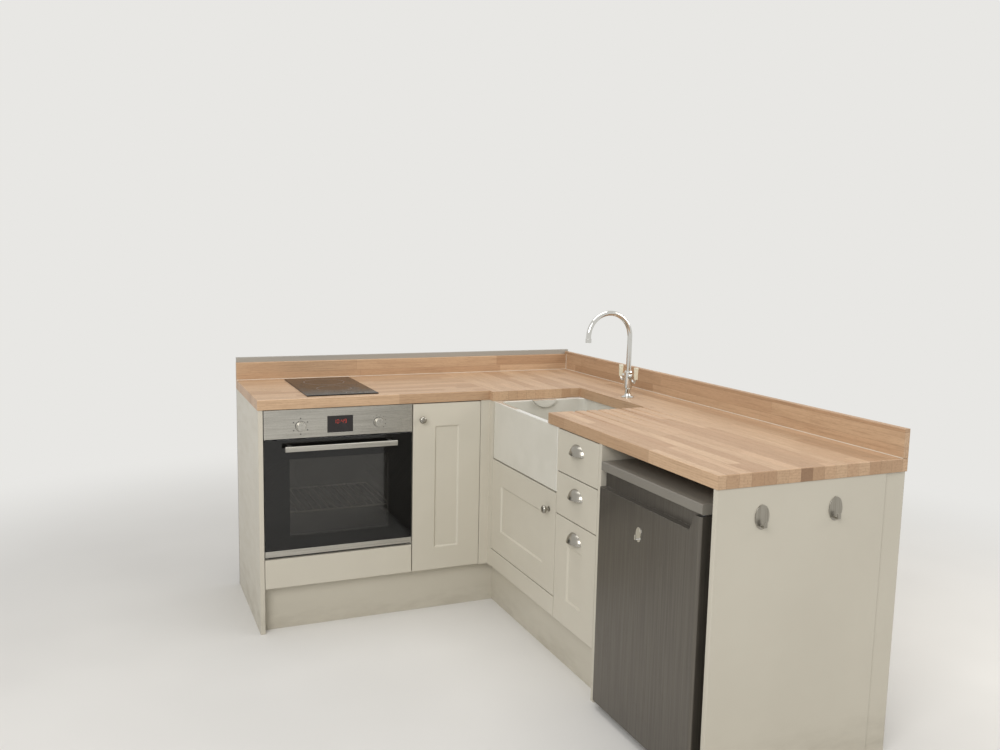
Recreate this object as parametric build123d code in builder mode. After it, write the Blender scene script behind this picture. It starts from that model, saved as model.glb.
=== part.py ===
"""Small L-shaped fitted kitchen: a peninsula with oven and hob, and a wall run with a
butler sink, drawers and an under-counter fridge, under timber block worktops.

The frame is in millimetres, +Z up, with the origin on the floor in the middle of the
kitchen's bounding box. The peninsula runs along X and its doors face -Y. The wall run
runs along Y and its doors face -X. The wall itself is just past the greatest X.
"""

import os

from build123d import *

os.makedirs("parts", exist_ok=True)

# Heights
plinth_height = 180
unit_height = 715
worktop_thickness = 40
upstand_height = 76
back_panel_rise = 21
wall_upstand_height = 88

# Boards and fronts
board = 18
back_board = 8
rail_depth = 80
door_thickness = 18
door_bumper_gap = 2
reveal = 2
front_lift = 3
front_top_gap = 4
frame_width = 95
panel_recess = 6

# Depths, measured back from the door faces
carcase_depth = 560
peninsula_service_gap = 13
wall_service_gap = 95
worktop_overhang = 3
upstand_thickness = 19
plinth_setback = 43
edge_round = 3
under_edge_round = 1.5
front_round = 1.2
edge_break = 0.8
fuse_depth = 1

# Widths along each run
oven_side_gap = 3
narrow_unit_width = 300
post_peninsula_side = 40
post_wall_side = 38
sink_unit_width = 595
drawer_unit_width = 300
fridge_side_gap = 25
end_panel_depth = 598
filler_strip_setback = 4

# Sink, tap and drainer
sink_depth = 440
sink_height = 240
sink_wall = 22
sink_floor = 25
sink_face_setback = 2
sink_side_gap = 2
notch_near_edge = 521
notch_cover = 32
waste_hole_radius = 30
weir_width = 109
weir_drop = 30
weir_thickness = 18
weir_slot = 8
groove_count = 7
groove_pitch = 49
groove_first = 101
groove_length = 411
groove_radius = 6
groove_depth = 5
tap_behind_sink = 28
tap_along_run = 330
tap_hole_radius = 16.5

sink_corner = 9
bowl_corner = 32
bowl_floor_round = 14
rim_break = 3
waste_flange_radius = 44
waste_lip = 3
waste_nut_height = 12
waste_nut_radius = 40
waste_body_gap = 0.5
waste_tail_radius = 20
waste_tail_length = 90
strainer_radius = 24
strainer_depth = 14

# Oven and hob
oven_filler_height = 120
oven_vent_gap = 10
oven_width = 594
oven_trim_height = 24
oven_fascia_height = 114
oven_fascia_gap = 3
oven_top_gap = 2
oven_door_thickness = 16
oven_glass_thickness = 4
oven_flange = 2
oven_housing_gap = 2
oven_rear_gap = 30
oven_housing_drop = 23
cavity_side_wall = 55
cavity_floor = 68
cavity_roof = 60
cavity_rear_wall = 120
oven_axis_depth = 9
oven_axis_rise = 7
knob_spread = 156
knob_rise = 47
handle_drop = 31
handle_length = 446
handle_standoff = 45
clock_width = 103
clock_height = 67
clock_rise = 15
hob_width = 290
hob_depth = 490
hob_rear_gap = 47
hob_right_of_oven_middle = 22
hob_glass_thickness = 5
hob_glass_bevel = 1.5
hob_casing_drop = 37
hob_casing_inset = 20
hob_cutout_gap = 5
rib_count = 4
rib_pitch = 50
rib_height = 8
rib_depth = 14
rib_setback = 6
shelf_level = 2
shelf_wire = 6
shelf_side_gap = 4
shelf_front_gap = 30
shelf_bars = 13
ear_spread = 240
ear_thickness = 6
ear_neck = 6
ear_radius = 5
ear_pin_radius = 2.5
ear_clearance = 0.6
door_heel_round = 5
clock_recess = 3
clock_glass_setback = 0.5
oven_knob_radius = 20
oven_knob_skirt = 4
oven_knob_height = 20
oven_knob_shaft = 4
oven_knob_shaft_length = 14
oven_knob_shaft_end_gap = 1
oven_knob_step = 1.5
oven_knob_draft = 2
oven_knob_round = 1.5
pointer_width = 3
pointer_rise = 1
window_side_inset = 25
window_inset = 20
plug_gap = 12
plug_depth = 16
plug_round = 6
handle_thickness = 12
handle_width = 21
handle_round = 3
handle_post_inset = 22
handle_post = 14

# Sink door and drawers
sink_rail_height = 75
sink_rail_gap = 4
drawer_gap = 4
top_drawer_height = 153
middle_drawer_height = 153
drawer_rear_gap = 54
drawer_side = 15
drawer_base = 12
drawer_side_gap = 7
runner_web = 2
runner_height = 30
runner_clearance = 0.3
box_lift = 25
small_box_height = 88
deep_box_height = 200

# Fridge
fridge_width = 550
fridge_proud = 20
fridge_door_thickness = 58
fridge_seal_gap = 6
fridge_body_depth = 500
fridge_bottom = 22
fridge_head_gap = 50
fridge_top_thickness = 30
fridge_wall = 40
fridge_door_bottom = 28
fridge_door_top_gap = 5
fridge_pivot_from_side = 15
fridge_pivot_from_back = 35
grip_height = 48
grip_depth = 26
grip_end = 26

grip_slant = 22
fridge_floor = 90
fridge_shelf_count = 3
fridge_shelf_pitch = 165
fridge_ledge = 8
fridge_glass = 5
fridge_shelf_play = 1
fridge_shelf_setback = 112
compressor_bay_depth = 150
compressor_bay_height = 175
compressor_bay_side = 22
compressor_hump_wall = 24
liner_hinge_gap = 5
liner_free_gap = 22
liner_end_gap = 12
liner_skin = 4
liner_bank_width = 14
liner_bank_depth = 40
bin_count = 3
bin_first = 20
bin_pitch = 205
bin_reach = 96
bin_height = 62
bin_wall = 3
bin_corner = 12
fridge_foot_radius = 18
fridge_top_setback = 6
fridge_door_round = 9
pivot_pin_radius = 4
pivot_pin_length = 12
pivot_plate_half = 12
pivot_plate_gap = 1
pivot_plate_thickness = 3
pivot_end_gap = 1

# Tap
tap_flange_radius = 26
tap_flange_thickness = 4
tap_foot_height = 16
tap_foot_flare = 3
tap_cap_height = 6
tap_cap_taper = 3
tap_neck_radius = 12
tap_neck_height = 36
tap_column_radius = 16
tap_column_height = 110
tap_shank_radius = 14
tap_shank_below = 30
tap_nut_radius = 26
tap_nut_height = 8
spout_radius = 10
spout_reach = 190
spout_rise = 140
spout_drop = 6
spout_spigot_radius = 6
spout_spigot_length = 20
aerator_radius = 12
aerator_height = 16
aerator_wall = 3
lever_axis_rise = 87
lever_boss_radius = 10
lever_boss_reach = 24
lever_collar_length = 11.4
lever_arm_radius = 4.5
lever_arm_drop = 6
lever_spread = 58
lever_grip_height = 47
lever_grip_radius = 9.5
lever_grip_taper = 2
lever_grip_round = 1.5

# Adjustable legs
leg_inset = 50
leg_radius = 15
leg_foot_radius = 24
leg_foot_height = 8
leg_plate_radius = 30
leg_plinth_gap = 4

# Small fittings
knob_radius = 15
knob_projection = 30
knob_base_radius = 10
knob_base_thickness = 2
knob_neck_radius = 5
knob_neck_length = 14
knob_face_radius = 9
knob_face_rise = 1
cup_width = 97
cup_height = 36
cup_projection = 26
cup_metal = 2
cup_drop = 50
cup_rim = 3
cup_rim_step = 1
cup_bulge = 6
hinge_cup_radius = 17.5
hinge_cup_depth = 12
hinge_cup_from_edge = 22
hinge_from_end = 100
hinge_flange_height = 44
hinge_flange_thickness = 1.5
hinge_arm_thickness = 12
hinge_arm_width = 14
hinge_arm_reach = 44
sink_door_top_gap = 6
knob_inset = 38
narrow_knob_drop = 64
sink_knob_inset = 54
sink_knob_drop = 71
hook_first = 152
hook_pitch = 260
hook_foot = 8
hook_tip_rise = 16
hook_drop = 88
hook_width = 48
hook_length = 70
hook_metal = 2
hook_reach = 18
small_hook_along_run = 1225
small_hook_drop = 137
small_hook_width = 30
small_hook_length = 46
small_hook_reach = 14
runner_setback = 4
fit_gap = 0.3
pin_clearance = 0.06

# Levels worked out from the heights
unit_top = plinth_height + unit_height
worktop_top = unit_top + worktop_thickness
front_bottom = plinth_height + front_lift
front_top = unit_top - front_top_gap
carcase_gap = door_thickness + door_bumper_gap
oven_shelf_height = plinth_height + oven_filler_height
oven_door_bottom = oven_shelf_height + oven_vent_gap
oven_fascia_top = unit_top - oven_top_gap
oven_fascia_bottom = oven_fascia_top - oven_fascia_height
oven_door_top = oven_fascia_bottom - oven_fascia_gap
oven_housing_top = oven_fascia_top - oven_housing_drop
oven_axis_height = oven_door_bottom + oven_axis_rise
cavity_bottom = oven_shelf_height + cavity_floor
cavity_top = oven_door_top - cavity_roof
knob_height = oven_fascia_bottom + knob_rise
handle_height = oven_door_top - handle_drop
clock_bottom = oven_fascia_bottom + clock_rise
window_bottom = cavity_bottom + window_inset
window_top = cavity_top - window_inset
sink_rail_top = front_bottom + sink_rail_height
sink_door_bottom = sink_rail_top + sink_rail_gap
hook_height = unit_top - hook_drop
tap_top = worktop_top + tap_column_height
spout_arc_height = tap_top + spout_rise
lever_axis_height = worktop_top + lever_axis_rise
lever_grip_bottom = lever_axis_height - lever_arm_drop
fridge_body_top = unit_top - fridge_head_gap - fridge_top_thickness
fridge_door_top = fridge_body_top - fridge_door_top_gap
small_hook_height = fridge_door_top - small_hook_drop

# Widths and depths worked out from the appliances, the carcases and the sink
oven_unit_width = oven_width + 2 * oven_side_gap
oven_housing_width = oven_unit_width - 2 * board - 2 * oven_housing_gap
oven_housing_depth = carcase_depth - oven_rear_gap
cavity_width = oven_housing_width - 2 * cavity_side_wall
cavity_depth = oven_housing_depth - cavity_rear_wall
window_width = cavity_width - 2 * window_side_inset
fridge_space = fridge_width + 2 * fridge_side_gap
peninsula_worktop_depth = carcase_gap + carcase_depth + peninsula_service_gap
wall_run_depth = carcase_gap + carcase_depth + wall_service_gap
hob_setback = peninsula_worktop_depth - upstand_thickness - hob_rear_gap - hob_depth
notch_depth = sink_face_setback + sink_depth - notch_cover
tap_setback = sink_face_setback + sink_depth + tap_behind_sink
drawer_box_length = carcase_gap + carcase_depth - back_board - door_thickness - drawer_rear_gap

# The two face planes, placed so that the origin is in the middle of the kitchen
peninsula_length = board + oven_unit_width + narrow_unit_width + post_peninsula_side
wall_run_length = post_wall_side + sink_unit_width + drawer_unit_width + board + fridge_space + board
total_x = worktop_overhang + peninsula_length + wall_run_depth
end_reach = max(worktop_overhang, hook_reach)
total_y = end_reach + wall_run_length + peninsula_worktop_depth + board
face_x = total_x / 2 - wall_run_depth
face_y = total_y / 2 - peninsula_worktop_depth - board

# Stations along the peninsula, from the corner outwards
x_post = face_x - post_peninsula_side
x_narrow = x_post - narrow_unit_width
x_oven = x_narrow - oven_unit_width
x_left = x_oven - board
x_wall = face_x + wall_run_depth
oven_middle = x_oven + oven_unit_width / 2

# Stations along the wall run, from the corner outwards
y_post = face_y - post_wall_side
y_sink = y_post - sink_unit_width
y_drawer = y_sink - drawer_unit_width
y_gable = y_drawer - board
y_fridge = y_gable - fridge_space
y_right = y_fridge - board
y_back = face_y + peninsula_worktop_depth
drawer_middle = y_sink - drawer_unit_width / 2


def block(x, y, z, mode=Mode.ADD):
    """Add or cut a straight board between two values on each axis."""
    with Locations((x[0], y[0], z[0])):
        Box(x[1] - x[0], y[1] - y[0], z[1] - z[0], align=(Align.MIN,) * 3, mode=mode)


def write(builder, name):
    """Label a finished piece and write its file."""
    builder.part.label = name
    export_step(builder.part, f"parts/{name}.step")


def plain_board(name, x, y, z, facing=None):
    """Make and write a straight board, with soft edges on its lowest face along the axis it is facing."""
    with BuildPart() as piece:
        block(x, y, z)
        if facing:
            fillet(piece.faces().sort_by(facing)[0].edges(), front_round)
    write(piece, name)


# Worktops
hob_left = oven_middle + hob_right_of_oven_middle - hob_width / 2
hob_front = face_y + hob_setback
with BuildPart() as peninsula_worktop:
    block((x_left - worktop_overhang, face_x - worktop_overhang), (face_y - worktop_overhang, y_back),
          (unit_top, worktop_top))
    for level, soft in ((-1, edge_round), (0, under_edge_round)):
        level_edges = peninsula_worktop.edges().group_by(Axis.Z)[level]
        fillet([level_edges.filter_by(Axis.X).sort_by(Axis.Y)[0],
                level_edges.filter_by(Axis.Y).sort_by(Axis.X)[0]], soft)
    inset = hob_casing_inset - hob_cutout_gap
    block((hob_left + inset, hob_left + hob_width - inset),
          (hob_front + inset, hob_front + hob_depth - inset), (unit_top, worktop_top), Mode.SUBTRACT)
write(peninsula_worktop, "peninsula_worktop")

tap_x = face_x + tap_setback
tap_y = face_y - tap_along_run
notch_end = y_post - notch_near_edge
with BuildPart() as wall_worktop:
    block((face_x - worktop_overhang, x_wall), (y_right - worktop_overhang, y_back),
          (unit_top, worktop_top))
    for level, soft in ((-1, edge_round), (0, under_edge_round)):
        level_edges = wall_worktop.edges().group_by(Axis.Z)[level]
        fillet([level_edges.filter_by(Axis.Y).sort_by(Axis.X)[0],
                level_edges.filter_by(Axis.X).sort_by(Axis.Y)[0]], soft)
    block((face_x - worktop_overhang, face_x + notch_depth), (notch_end, y_post),
          (unit_top, worktop_top), Mode.SUBTRACT)
    with Locations((tap_x, tap_y, unit_top + worktop_thickness / 2)):
        Cylinder(tap_hole_radius, worktop_thickness, mode=Mode.SUBTRACT)
    for groove in range(groove_count):
        start = (face_x + groove_first + groove * groove_pitch, notch_end + groove_radius,
                 worktop_top + groove_radius - groove_depth)
        with Locations(Plane(start, z_dir=(0, -groove_length, groove_depth))):
            Cylinder(groove_radius, groove_length, align=(Align.CENTER, Align.CENTER, Align.MIN),
                     mode=Mode.SUBTRACT)
write(wall_worktop, "wall_worktop")

with BuildPart() as peninsula_upstand:
    block((x_left - worktop_overhang, x_wall - upstand_thickness),
          (y_back - upstand_thickness, y_back), (worktop_top, worktop_top + upstand_height))
    fillet(peninsula_upstand.edges().filter_by(Axis.X).group_by(Axis.Z)[-1].sort_by(Axis.Y)[0], edge_round)
write(peninsula_upstand, "peninsula_upstand")

with BuildPart() as wall_upstand:
    block((x_wall - upstand_thickness, x_wall), (y_right - worktop_overhang, y_back),
          (worktop_top, worktop_top + wall_upstand_height))
    fillet(wall_upstand.edges().filter_by(Axis.Y).group_by(Axis.Z)[-1].sort_by(Axis.X)[0], edge_round)
write(wall_upstand, "wall_upstand")

# Panels that stand on the floor
plain_board("peninsula_back_panel", (x_left, x_wall), (y_back, y_back + board),
            (0, worktop_top + upstand_height + back_panel_rise))
plain_board("left_end_panel", (x_left, x_oven), (face_y, y_back), (0, unit_top), Axis.Y)
plain_board("right_end_panel", (face_x, face_x + end_panel_depth), (y_right, y_fridge), (0, unit_top),
            Axis.X)
plain_board("end_filler_strip", (face_x + end_panel_depth, x_wall),
            (y_right + filler_strip_setback, y_fridge), (0, unit_top))
plain_board("fridge_side_panel", (face_x, face_x + carcase_gap + carcase_depth), (y_gable, y_drawer),
            (0, unit_top), Axis.X)
plain_board("peninsula_plinth", (x_oven, face_x + plinth_setback + board),
            (face_y + plinth_setback, face_y + plinth_setback + board), (0, plinth_height))
plain_board("wall_plinth", (face_x + plinth_setback, face_x + plinth_setback + board),
            (y_drawer, face_y + plinth_setback), (0, plinth_height))
plain_board("oven_filler_panel", (x_oven + reveal, x_narrow - reveal), (face_y, face_y + carcase_gap),
            (front_bottom, oven_shelf_height), Axis.Y)
plain_board("sink_rail", (face_x, face_x + carcase_gap), (y_sink + reveal, y_post),
            (front_bottom, sink_rail_top), Axis.X)

with BuildPart() as corner_post:
    with BuildSketch(Plane.XY.offset(plinth_height)):
        with BuildLine():
            Polyline((x_post, face_y), (face_x, face_y), (face_x, y_post),
                     (face_x + 2 * carcase_gap, y_post),
                     (face_x + 2 * carcase_gap, y_post + carcase_gap),
                     (face_x + carcase_gap, y_post + carcase_gap),
                     (face_x + carcase_gap, face_y + carcase_gap),
                     (x_post + carcase_gap, face_y + carcase_gap),
                     (x_post + carcase_gap, face_y + 2 * carcase_gap),
                     (x_post, face_y + 2 * carcase_gap), close=True)
        make_face()
    extrude(amount=unit_height)
write(corner_post, "corner_post")

# Carcases of the peninsula, open at the front
front_y = face_y + carcase_gap
rear_y = front_y + carcase_depth
with BuildPart() as oven_carcase:
    block((x_oven, x_narrow), (front_y, rear_y), (plinth_height, unit_top))
    block((x_oven + board, x_narrow - board), (front_y, rear_y),
          (plinth_height + board, oven_shelf_height - board), Mode.SUBTRACT)
    block((x_oven + board, x_narrow - board), (front_y, rear_y), (oven_shelf_height, unit_top),
          Mode.SUBTRACT)
    block((x_oven, x_narrow), (rear_y - rail_depth, rear_y), (unit_top - board, unit_top))
write(oven_carcase, "oven_carcase")

narrow_shelf_height = plinth_height + unit_height / 2
with BuildPart() as narrow_carcase:
    block((x_narrow, x_post), (front_y, rear_y), (plinth_height, unit_top))
    inside_x = (x_narrow + board, x_post - board)
    block(inside_x, (front_y, rear_y - back_board), (plinth_height + board, unit_top - board), Mode.SUBTRACT)
    block(inside_x, (front_y + rail_depth, rear_y - rail_depth), (unit_top - board, unit_top), Mode.SUBTRACT)
    block(inside_x, (front_y + board, rear_y - back_board),
          (narrow_shelf_height, narrow_shelf_height + board))
write(narrow_carcase, "narrow_carcase")

# Carcases of the wall run, open towards the room
front_x = face_x + carcase_gap
rear_x = front_x + carcase_depth
sink_back_x = face_x + sink_face_setback + sink_depth
sink_bottom = unit_top - sink_height
with BuildPart() as sink_carcase:
    block((front_x, rear_x), (y_sink, y_post), (plinth_height, unit_top))
    inside_y = (y_sink + board, y_post - board)
    block((front_x, rear_x - back_board), inside_y, (plinth_height + board, unit_top), Mode.SUBTRACT)
    block((front_x, sink_back_x + worktop_overhang), (y_sink, y_post), (sink_bottom, unit_top),
          Mode.SUBTRACT)
    block((front_x, front_x + rail_depth), (y_sink, y_post), (sink_bottom - board, sink_bottom))
write(sink_carcase, "sink_carcase")

with BuildPart() as drawer_carcase:
    block((front_x, rear_x), (y_drawer, y_sink), (plinth_height, unit_top))
    inside_y = (y_drawer + board, y_sink - board)
    block((front_x, rear_x - back_board), inside_y, (plinth_height + board, unit_top - board), Mode.SUBTRACT)
    block((front_x + rail_depth, rear_x - rail_depth), inside_y, (unit_top - board, unit_top), Mode.SUBTRACT)
write(drawer_carcase, "drawer_carcase")

# Adjustable legs under the four carcases
leg_front = plinth_setback + board + leg_plate_radius + leg_plinth_gap
leg_rear = carcase_gap + carcase_depth - leg_inset
leg_spots = []
for low, high in ((x_oven, x_narrow), (x_narrow, x_post)):
    for x in (low + leg_inset, high - leg_inset):
        leg_spots += [(x, face_y + leg_front), (x, face_y + leg_rear)]
for low, high in ((y_sink, y_post), (y_drawer, y_sink)):
    for y in (low + leg_inset, high - leg_inset):
        leg_spots += [(face_x + leg_front, y), (face_x + leg_rear, y)]
with BuildPart() as cabinet_legs:
    with BuildSketch(Plane.XZ) as leg_profile:
        with BuildLine():
            Polyline((0, 0), (leg_foot_radius, 0), (leg_foot_radius, leg_foot_height),
                     (leg_radius, leg_foot_height), (leg_radius, plinth_height - leg_foot_height),
                     (leg_plate_radius, plinth_height - leg_foot_height),
                     (leg_plate_radius, plinth_height), (0, plinth_height), close=True)
        make_face()
    one_leg = revolve(axis=Axis.Z, mode=Mode.PRIVATE)
    with Locations(*leg_spots):
        add(one_leg)
write(cabinet_legs, "cabinet_legs")

# Butler sink, bowl, overflow weir and waste
sink_y = (y_sink + sink_side_gap, y_post - sink_side_gap)
sink_middle_x = face_x + sink_face_setback + sink_depth / 2
sink_middle_y = (sink_y[0] + sink_y[1]) / 2
bowl_floor = sink_bottom + sink_floor
weir_round = (weir_width ** 2 / 4 + weir_drop ** 2) / (2 * weir_drop)
with BuildPart() as ceramic_sink:
    block((face_x + sink_face_setback, sink_back_x), sink_y, (sink_bottom, unit_top))
    fillet(ceramic_sink.edges().filter_by(Axis.Z), sink_corner)
    with BuildSketch(Plane.XY.offset(unit_top)):
        with Locations((sink_middle_x, sink_middle_y)):
            RectangleRounded(sink_depth - 2 * sink_wall, sink_y[1] - sink_y[0] - 2 * sink_wall, bowl_corner)
    extrude(amount=-(sink_height - sink_floor), mode=Mode.SUBTRACT)
    fillet(ceramic_sink.faces().filter_by(Axis.Z).sort_by(Axis.Z)[1].edges(), bowl_floor_round)
    chamfer(ceramic_sink.faces().filter_by(Axis.Z).sort_by(Axis.Z)[-1].edges(), rim_break)
    weir_y = sink_y[1] - sink_wall + rim_break
    with BuildSketch(Plane.XZ.offset(-weir_y)):
        with Locations((sink_middle_x, unit_top - weir_drop + weir_round)):
            Circle(weir_round)
        with Locations((sink_middle_x, unit_top)):
            Rectangle(2 * sink_depth, 2 * weir_round, align=(Align.CENTER, Align.MIN), mode=Mode.SUBTRACT)
    extrude(amount=weir_thickness + rim_break)
    with Locations((sink_middle_x, sink_y[1] - sink_wall - weir_thickness / 2, unit_top)):
        Box(weir_width / 2, weir_slot, weir_drop, mode=Mode.SUBTRACT)
    with Locations((sink_middle_x, sink_middle_y, sink_bottom)):
        Cylinder(waste_hole_radius, sink_height, mode=Mode.SUBTRACT)
write(ceramic_sink, "ceramic_sink")

waste_body_radius = waste_hole_radius - waste_body_gap
with BuildPart() as sink_waste:
    with BuildSketch(Plane.XZ):
        with BuildLine():
            Polyline((0, bowl_floor - strainer_depth), (strainer_radius, bowl_floor - strainer_depth),
                     (strainer_radius, bowl_floor + waste_lip),
                     (waste_flange_radius, bowl_floor + waste_lip), (waste_flange_radius, bowl_floor),
                     (waste_body_radius, bowl_floor),
                     (waste_body_radius, sink_bottom), (waste_nut_radius, sink_bottom),
                     (waste_nut_radius, sink_bottom - waste_nut_height),
                     (waste_tail_radius, sink_bottom - waste_nut_height),
                     (waste_tail_radius, sink_bottom - waste_tail_length),
                     (0, sink_bottom - waste_tail_length), close=True)
        make_face()
    revolve(axis=Axis.Z)
sink_waste.part.position = (sink_middle_x, sink_middle_y, 0)
write(sink_waste, "sink_waste")

# Hob set into the peninsula worktop
with BuildPart() as hob:
    with BuildSketch(Plane.XY.offset(worktop_top)):
        with Locations((hob_left + hob_width / 2, hob_front + hob_depth / 2)):
            RectangleRounded(hob_width, hob_depth, edge_round)
    extrude(amount=hob_glass_thickness)
    chamfer(hob.edges().group_by(Axis.Z)[-1], hob_glass_bevel)
    block((hob_left + hob_casing_inset, hob_left + hob_width - hob_casing_inset),
          (hob_front + hob_casing_inset, hob_front + hob_depth - hob_casing_inset),
          (worktop_top - hob_casing_drop, worktop_top))
write(hob, "hob")

# Oven housing with its cavity, shelf supports and the two hinge ears of its door
flange_back = face_y + carcase_gap
flange_front = flange_back - oven_flange
axis_y = face_y + oven_axis_depth
cavity_x = (oven_middle - cavity_width / 2, oven_middle + cavity_width / 2)
with BuildPart() as oven_body:
    block((oven_middle - oven_housing_width / 2, oven_middle + oven_housing_width / 2),
          (flange_back, flange_back + oven_housing_depth), (oven_shelf_height, oven_housing_top))
    block((oven_middle - oven_width / 2, oven_middle + oven_width / 2), (flange_front, flange_back),
          (oven_shelf_height + reveal, oven_fascia_top))
    block(cavity_x, (flange_front, flange_back + cavity_depth), (cavity_bottom, cavity_top), Mode.SUBTRACT)
    rib_front = flange_back + plug_depth + rib_setback
    for level in range(1, rib_count + 1):
        rib_bottom = cavity_bottom + level * rib_pitch - rib_height
        for side in (cavity_x[0], cavity_x[1] - rib_depth):
            block((side, side + rib_depth), (rib_front, flange_back + cavity_depth),
                  (rib_bottom, rib_bottom + rib_height))
    for side in (-1, 1):
        ear_x = oven_middle + side * ear_spread
        block((ear_x - ear_thickness / 2, ear_x + ear_thickness / 2), (axis_y, flange_front),
              (oven_axis_height - ear_neck / 2, oven_axis_height + ear_neck / 2))
        with Locations(Location((ear_x, axis_y, oven_axis_height), (0, 90, 0))):
            Cylinder(ear_radius, ear_thickness)
            Cylinder(ear_pin_radius + pin_clearance, ear_thickness, mode=Mode.SUBTRACT)
write(oven_body, "oven_body")

fascia_x = (oven_middle - oven_width / 2, oven_middle + oven_width / 2)
clock_x = (oven_middle - clock_width / 2, oven_middle + clock_width / 2)
clock_z = (clock_bottom, clock_bottom + clock_height)
with BuildPart() as oven_fascia:
    block(fascia_x, (face_y, flange_front), (oven_fascia_bottom, oven_fascia_top))
    chamfer(oven_fascia.edges().filter_by(Axis.X).group_by(Axis.Y)[0], edge_break)
    block(clock_x, (face_y, face_y + clock_recess), clock_z, Mode.SUBTRACT)
    for side in (-1, 1):
        with Locations(Location((oven_middle + side * knob_spread, face_y, knob_height), (-90, 0, 0))):
            Cylinder(oven_knob_shaft + pin_clearance, oven_knob_shaft_length + oven_knob_shaft_end_gap,
                     align=(Align.CENTER, Align.CENTER, Align.MIN), mode=Mode.SUBTRACT)
write(oven_fascia, "oven_fascia")
plain_board("oven_clock", clock_x, (face_y + clock_glass_setback, face_y + clock_recess), clock_z)

shelf_x = (cavity_x[0] + shelf_side_gap, cavity_x[1] - shelf_side_gap)
shelf_y = (flange_back + shelf_front_gap, flange_back + cavity_depth - shelf_side_gap)
shelf_z = cavity_bottom + shelf_level * rib_pitch
with BuildPart() as oven_shelf:
    block(shelf_x, shelf_y, (shelf_z, shelf_z + shelf_wire))
    block((shelf_x[0] + shelf_wire, shelf_x[1] - shelf_wire),
          (shelf_y[0] + shelf_wire, shelf_y[1] - shelf_wire), (shelf_z, shelf_z + shelf_wire), Mode.SUBTRACT)
    bar_step = (shelf_x[1] - shelf_x[0]) / (shelf_bars + 1)
    for bar in range(1, shelf_bars + 1):
        bar_x = shelf_x[0] + bar * bar_step
        block((bar_x - shelf_wire / 3, bar_x + shelf_wire / 3), shelf_y, (shelf_z, shelf_z + shelf_wire))
write(oven_shelf, "oven_shelf")

# Oven door: outer glass, frame with an inner plug, bottom trim and bar handle
trim_top = oven_door_bottom + oven_trim_height
glass_back = face_y + oven_glass_thickness
door_back = face_y + oven_door_thickness
window_x = (oven_middle - window_width / 2, oven_middle + window_width / 2)
window_z = (window_bottom, window_top)
plug_x = (cavity_x[0] + plug_gap, cavity_x[1] - plug_gap)
plug_z = (cavity_bottom + plug_gap, cavity_top - plug_gap)
with BuildPart() as oven_door_glass:
    block(fascia_x, (face_y, glass_back), (trim_top, oven_door_top))
    chamfer(oven_door_glass.edges().group_by(Axis.Y)[0], edge_break)
    block(window_x, (door_back + plug_depth - oven_glass_thickness, door_back + plug_depth), window_z)
write(oven_door_glass, "oven_door_glass")

with BuildPart() as oven_door_frame:
    block(fascia_x, (glass_back, door_back), (trim_top, oven_door_top))
    block(plug_x, (door_back, door_back + plug_depth), plug_z)
    fillet(oven_door_frame.faces().sort_by(Axis.Y)[-1].edges().filter_by(Axis.Z), plug_round)
    block(window_x, (glass_back, door_back + plug_depth), window_z, Mode.SUBTRACT)
write(oven_door_frame, "oven_door_frame")

with BuildPart() as oven_door_trim:
    block(fascia_x, (face_y, door_back), (oven_door_bottom, trim_top))
    chamfer(oven_door_trim.edges().filter_by(Axis.X).group_by(Axis.Y)[0], edge_break)
    fillet(oven_door_trim.edges().filter_by(Axis.X).group_by(Axis.Z)[0].sort_by(Axis.Y)[-1], door_heel_round)
    for side in (-1, 1):
        slot_x = oven_middle + side * ear_spread
        half_slot = ear_thickness / 2 + reveal
        block((slot_x - half_slot, slot_x + half_slot), (axis_y - ear_radius - ear_clearance, door_back),
              (oven_door_bottom, oven_axis_height + ear_radius + reveal), Mode.SUBTRACT)
        with Locations(Location((slot_x, axis_y, oven_axis_height), (0, 90, 0))):
            Cylinder(ear_pin_radius, 2 * half_slot + reveal)
write(oven_door_trim, "oven_door_trim")

handle_x = (oven_middle - handle_length / 2, oven_middle + handle_length / 2)
with BuildPart() as oven_door_handle:
    block(handle_x, (face_y - handle_standoff, face_y - handle_standoff + handle_thickness),
          (handle_height - handle_width / 2, handle_height + handle_width / 2))
    fillet(oven_door_handle.edges().filter_by(Axis.X), handle_round)
    for post_x in (handle_x[0] + handle_post_inset, handle_x[1] - handle_post_inset):
        block((post_x - handle_post / 2, post_x + handle_post / 2),
              (face_y - handle_standoff + handle_thickness - fuse_depth, face_y),
              (handle_height - handle_post / 2, handle_height + handle_post / 2))
write(oven_door_handle, "oven_door_handle")


def oven_knob(name, side):
    """Make a fascia knob on its shaft, with a raised pointer bar."""
    knob_x = oven_middle + side * knob_spread
    knob_plane = Plane((knob_x, face_y, knob_height), x_dir=(1, 0, 0), z_dir=(0, -1, 0))
    grip_radius = oven_knob_radius - oven_knob_step
    with BuildPart(knob_plane) as knob:
        with Locations((0, 0, -oven_knob_shaft_length)):
            Cylinder(oven_knob_shaft, oven_knob_shaft_length + fit_gap,
                     align=(Align.CENTER, Align.CENTER, Align.MIN))
        with Locations((0, 0, fit_gap)):
            Cylinder(oven_knob_radius, oven_knob_skirt, align=(Align.CENTER, Align.CENTER, Align.MIN))
        with Locations((0, 0, fit_gap + oven_knob_skirt)):
            Cone(grip_radius, grip_radius - oven_knob_draft, oven_knob_height - oven_knob_skirt,
                 align=(Align.CENTER, Align.CENTER, Align.MIN))
        fillet(knob.faces().sort_by(Axis.Y)[0].edges(), oven_knob_round)
        with Locations((0, oven_knob_radius / 3, fit_gap + oven_knob_height)):
            Box(pointer_width, oven_knob_radius, 2 * pointer_rise)
    write(knob, name)


oven_knob("oven_knob_left", -1)
oven_knob("oven_knob_right", 1)


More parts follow.
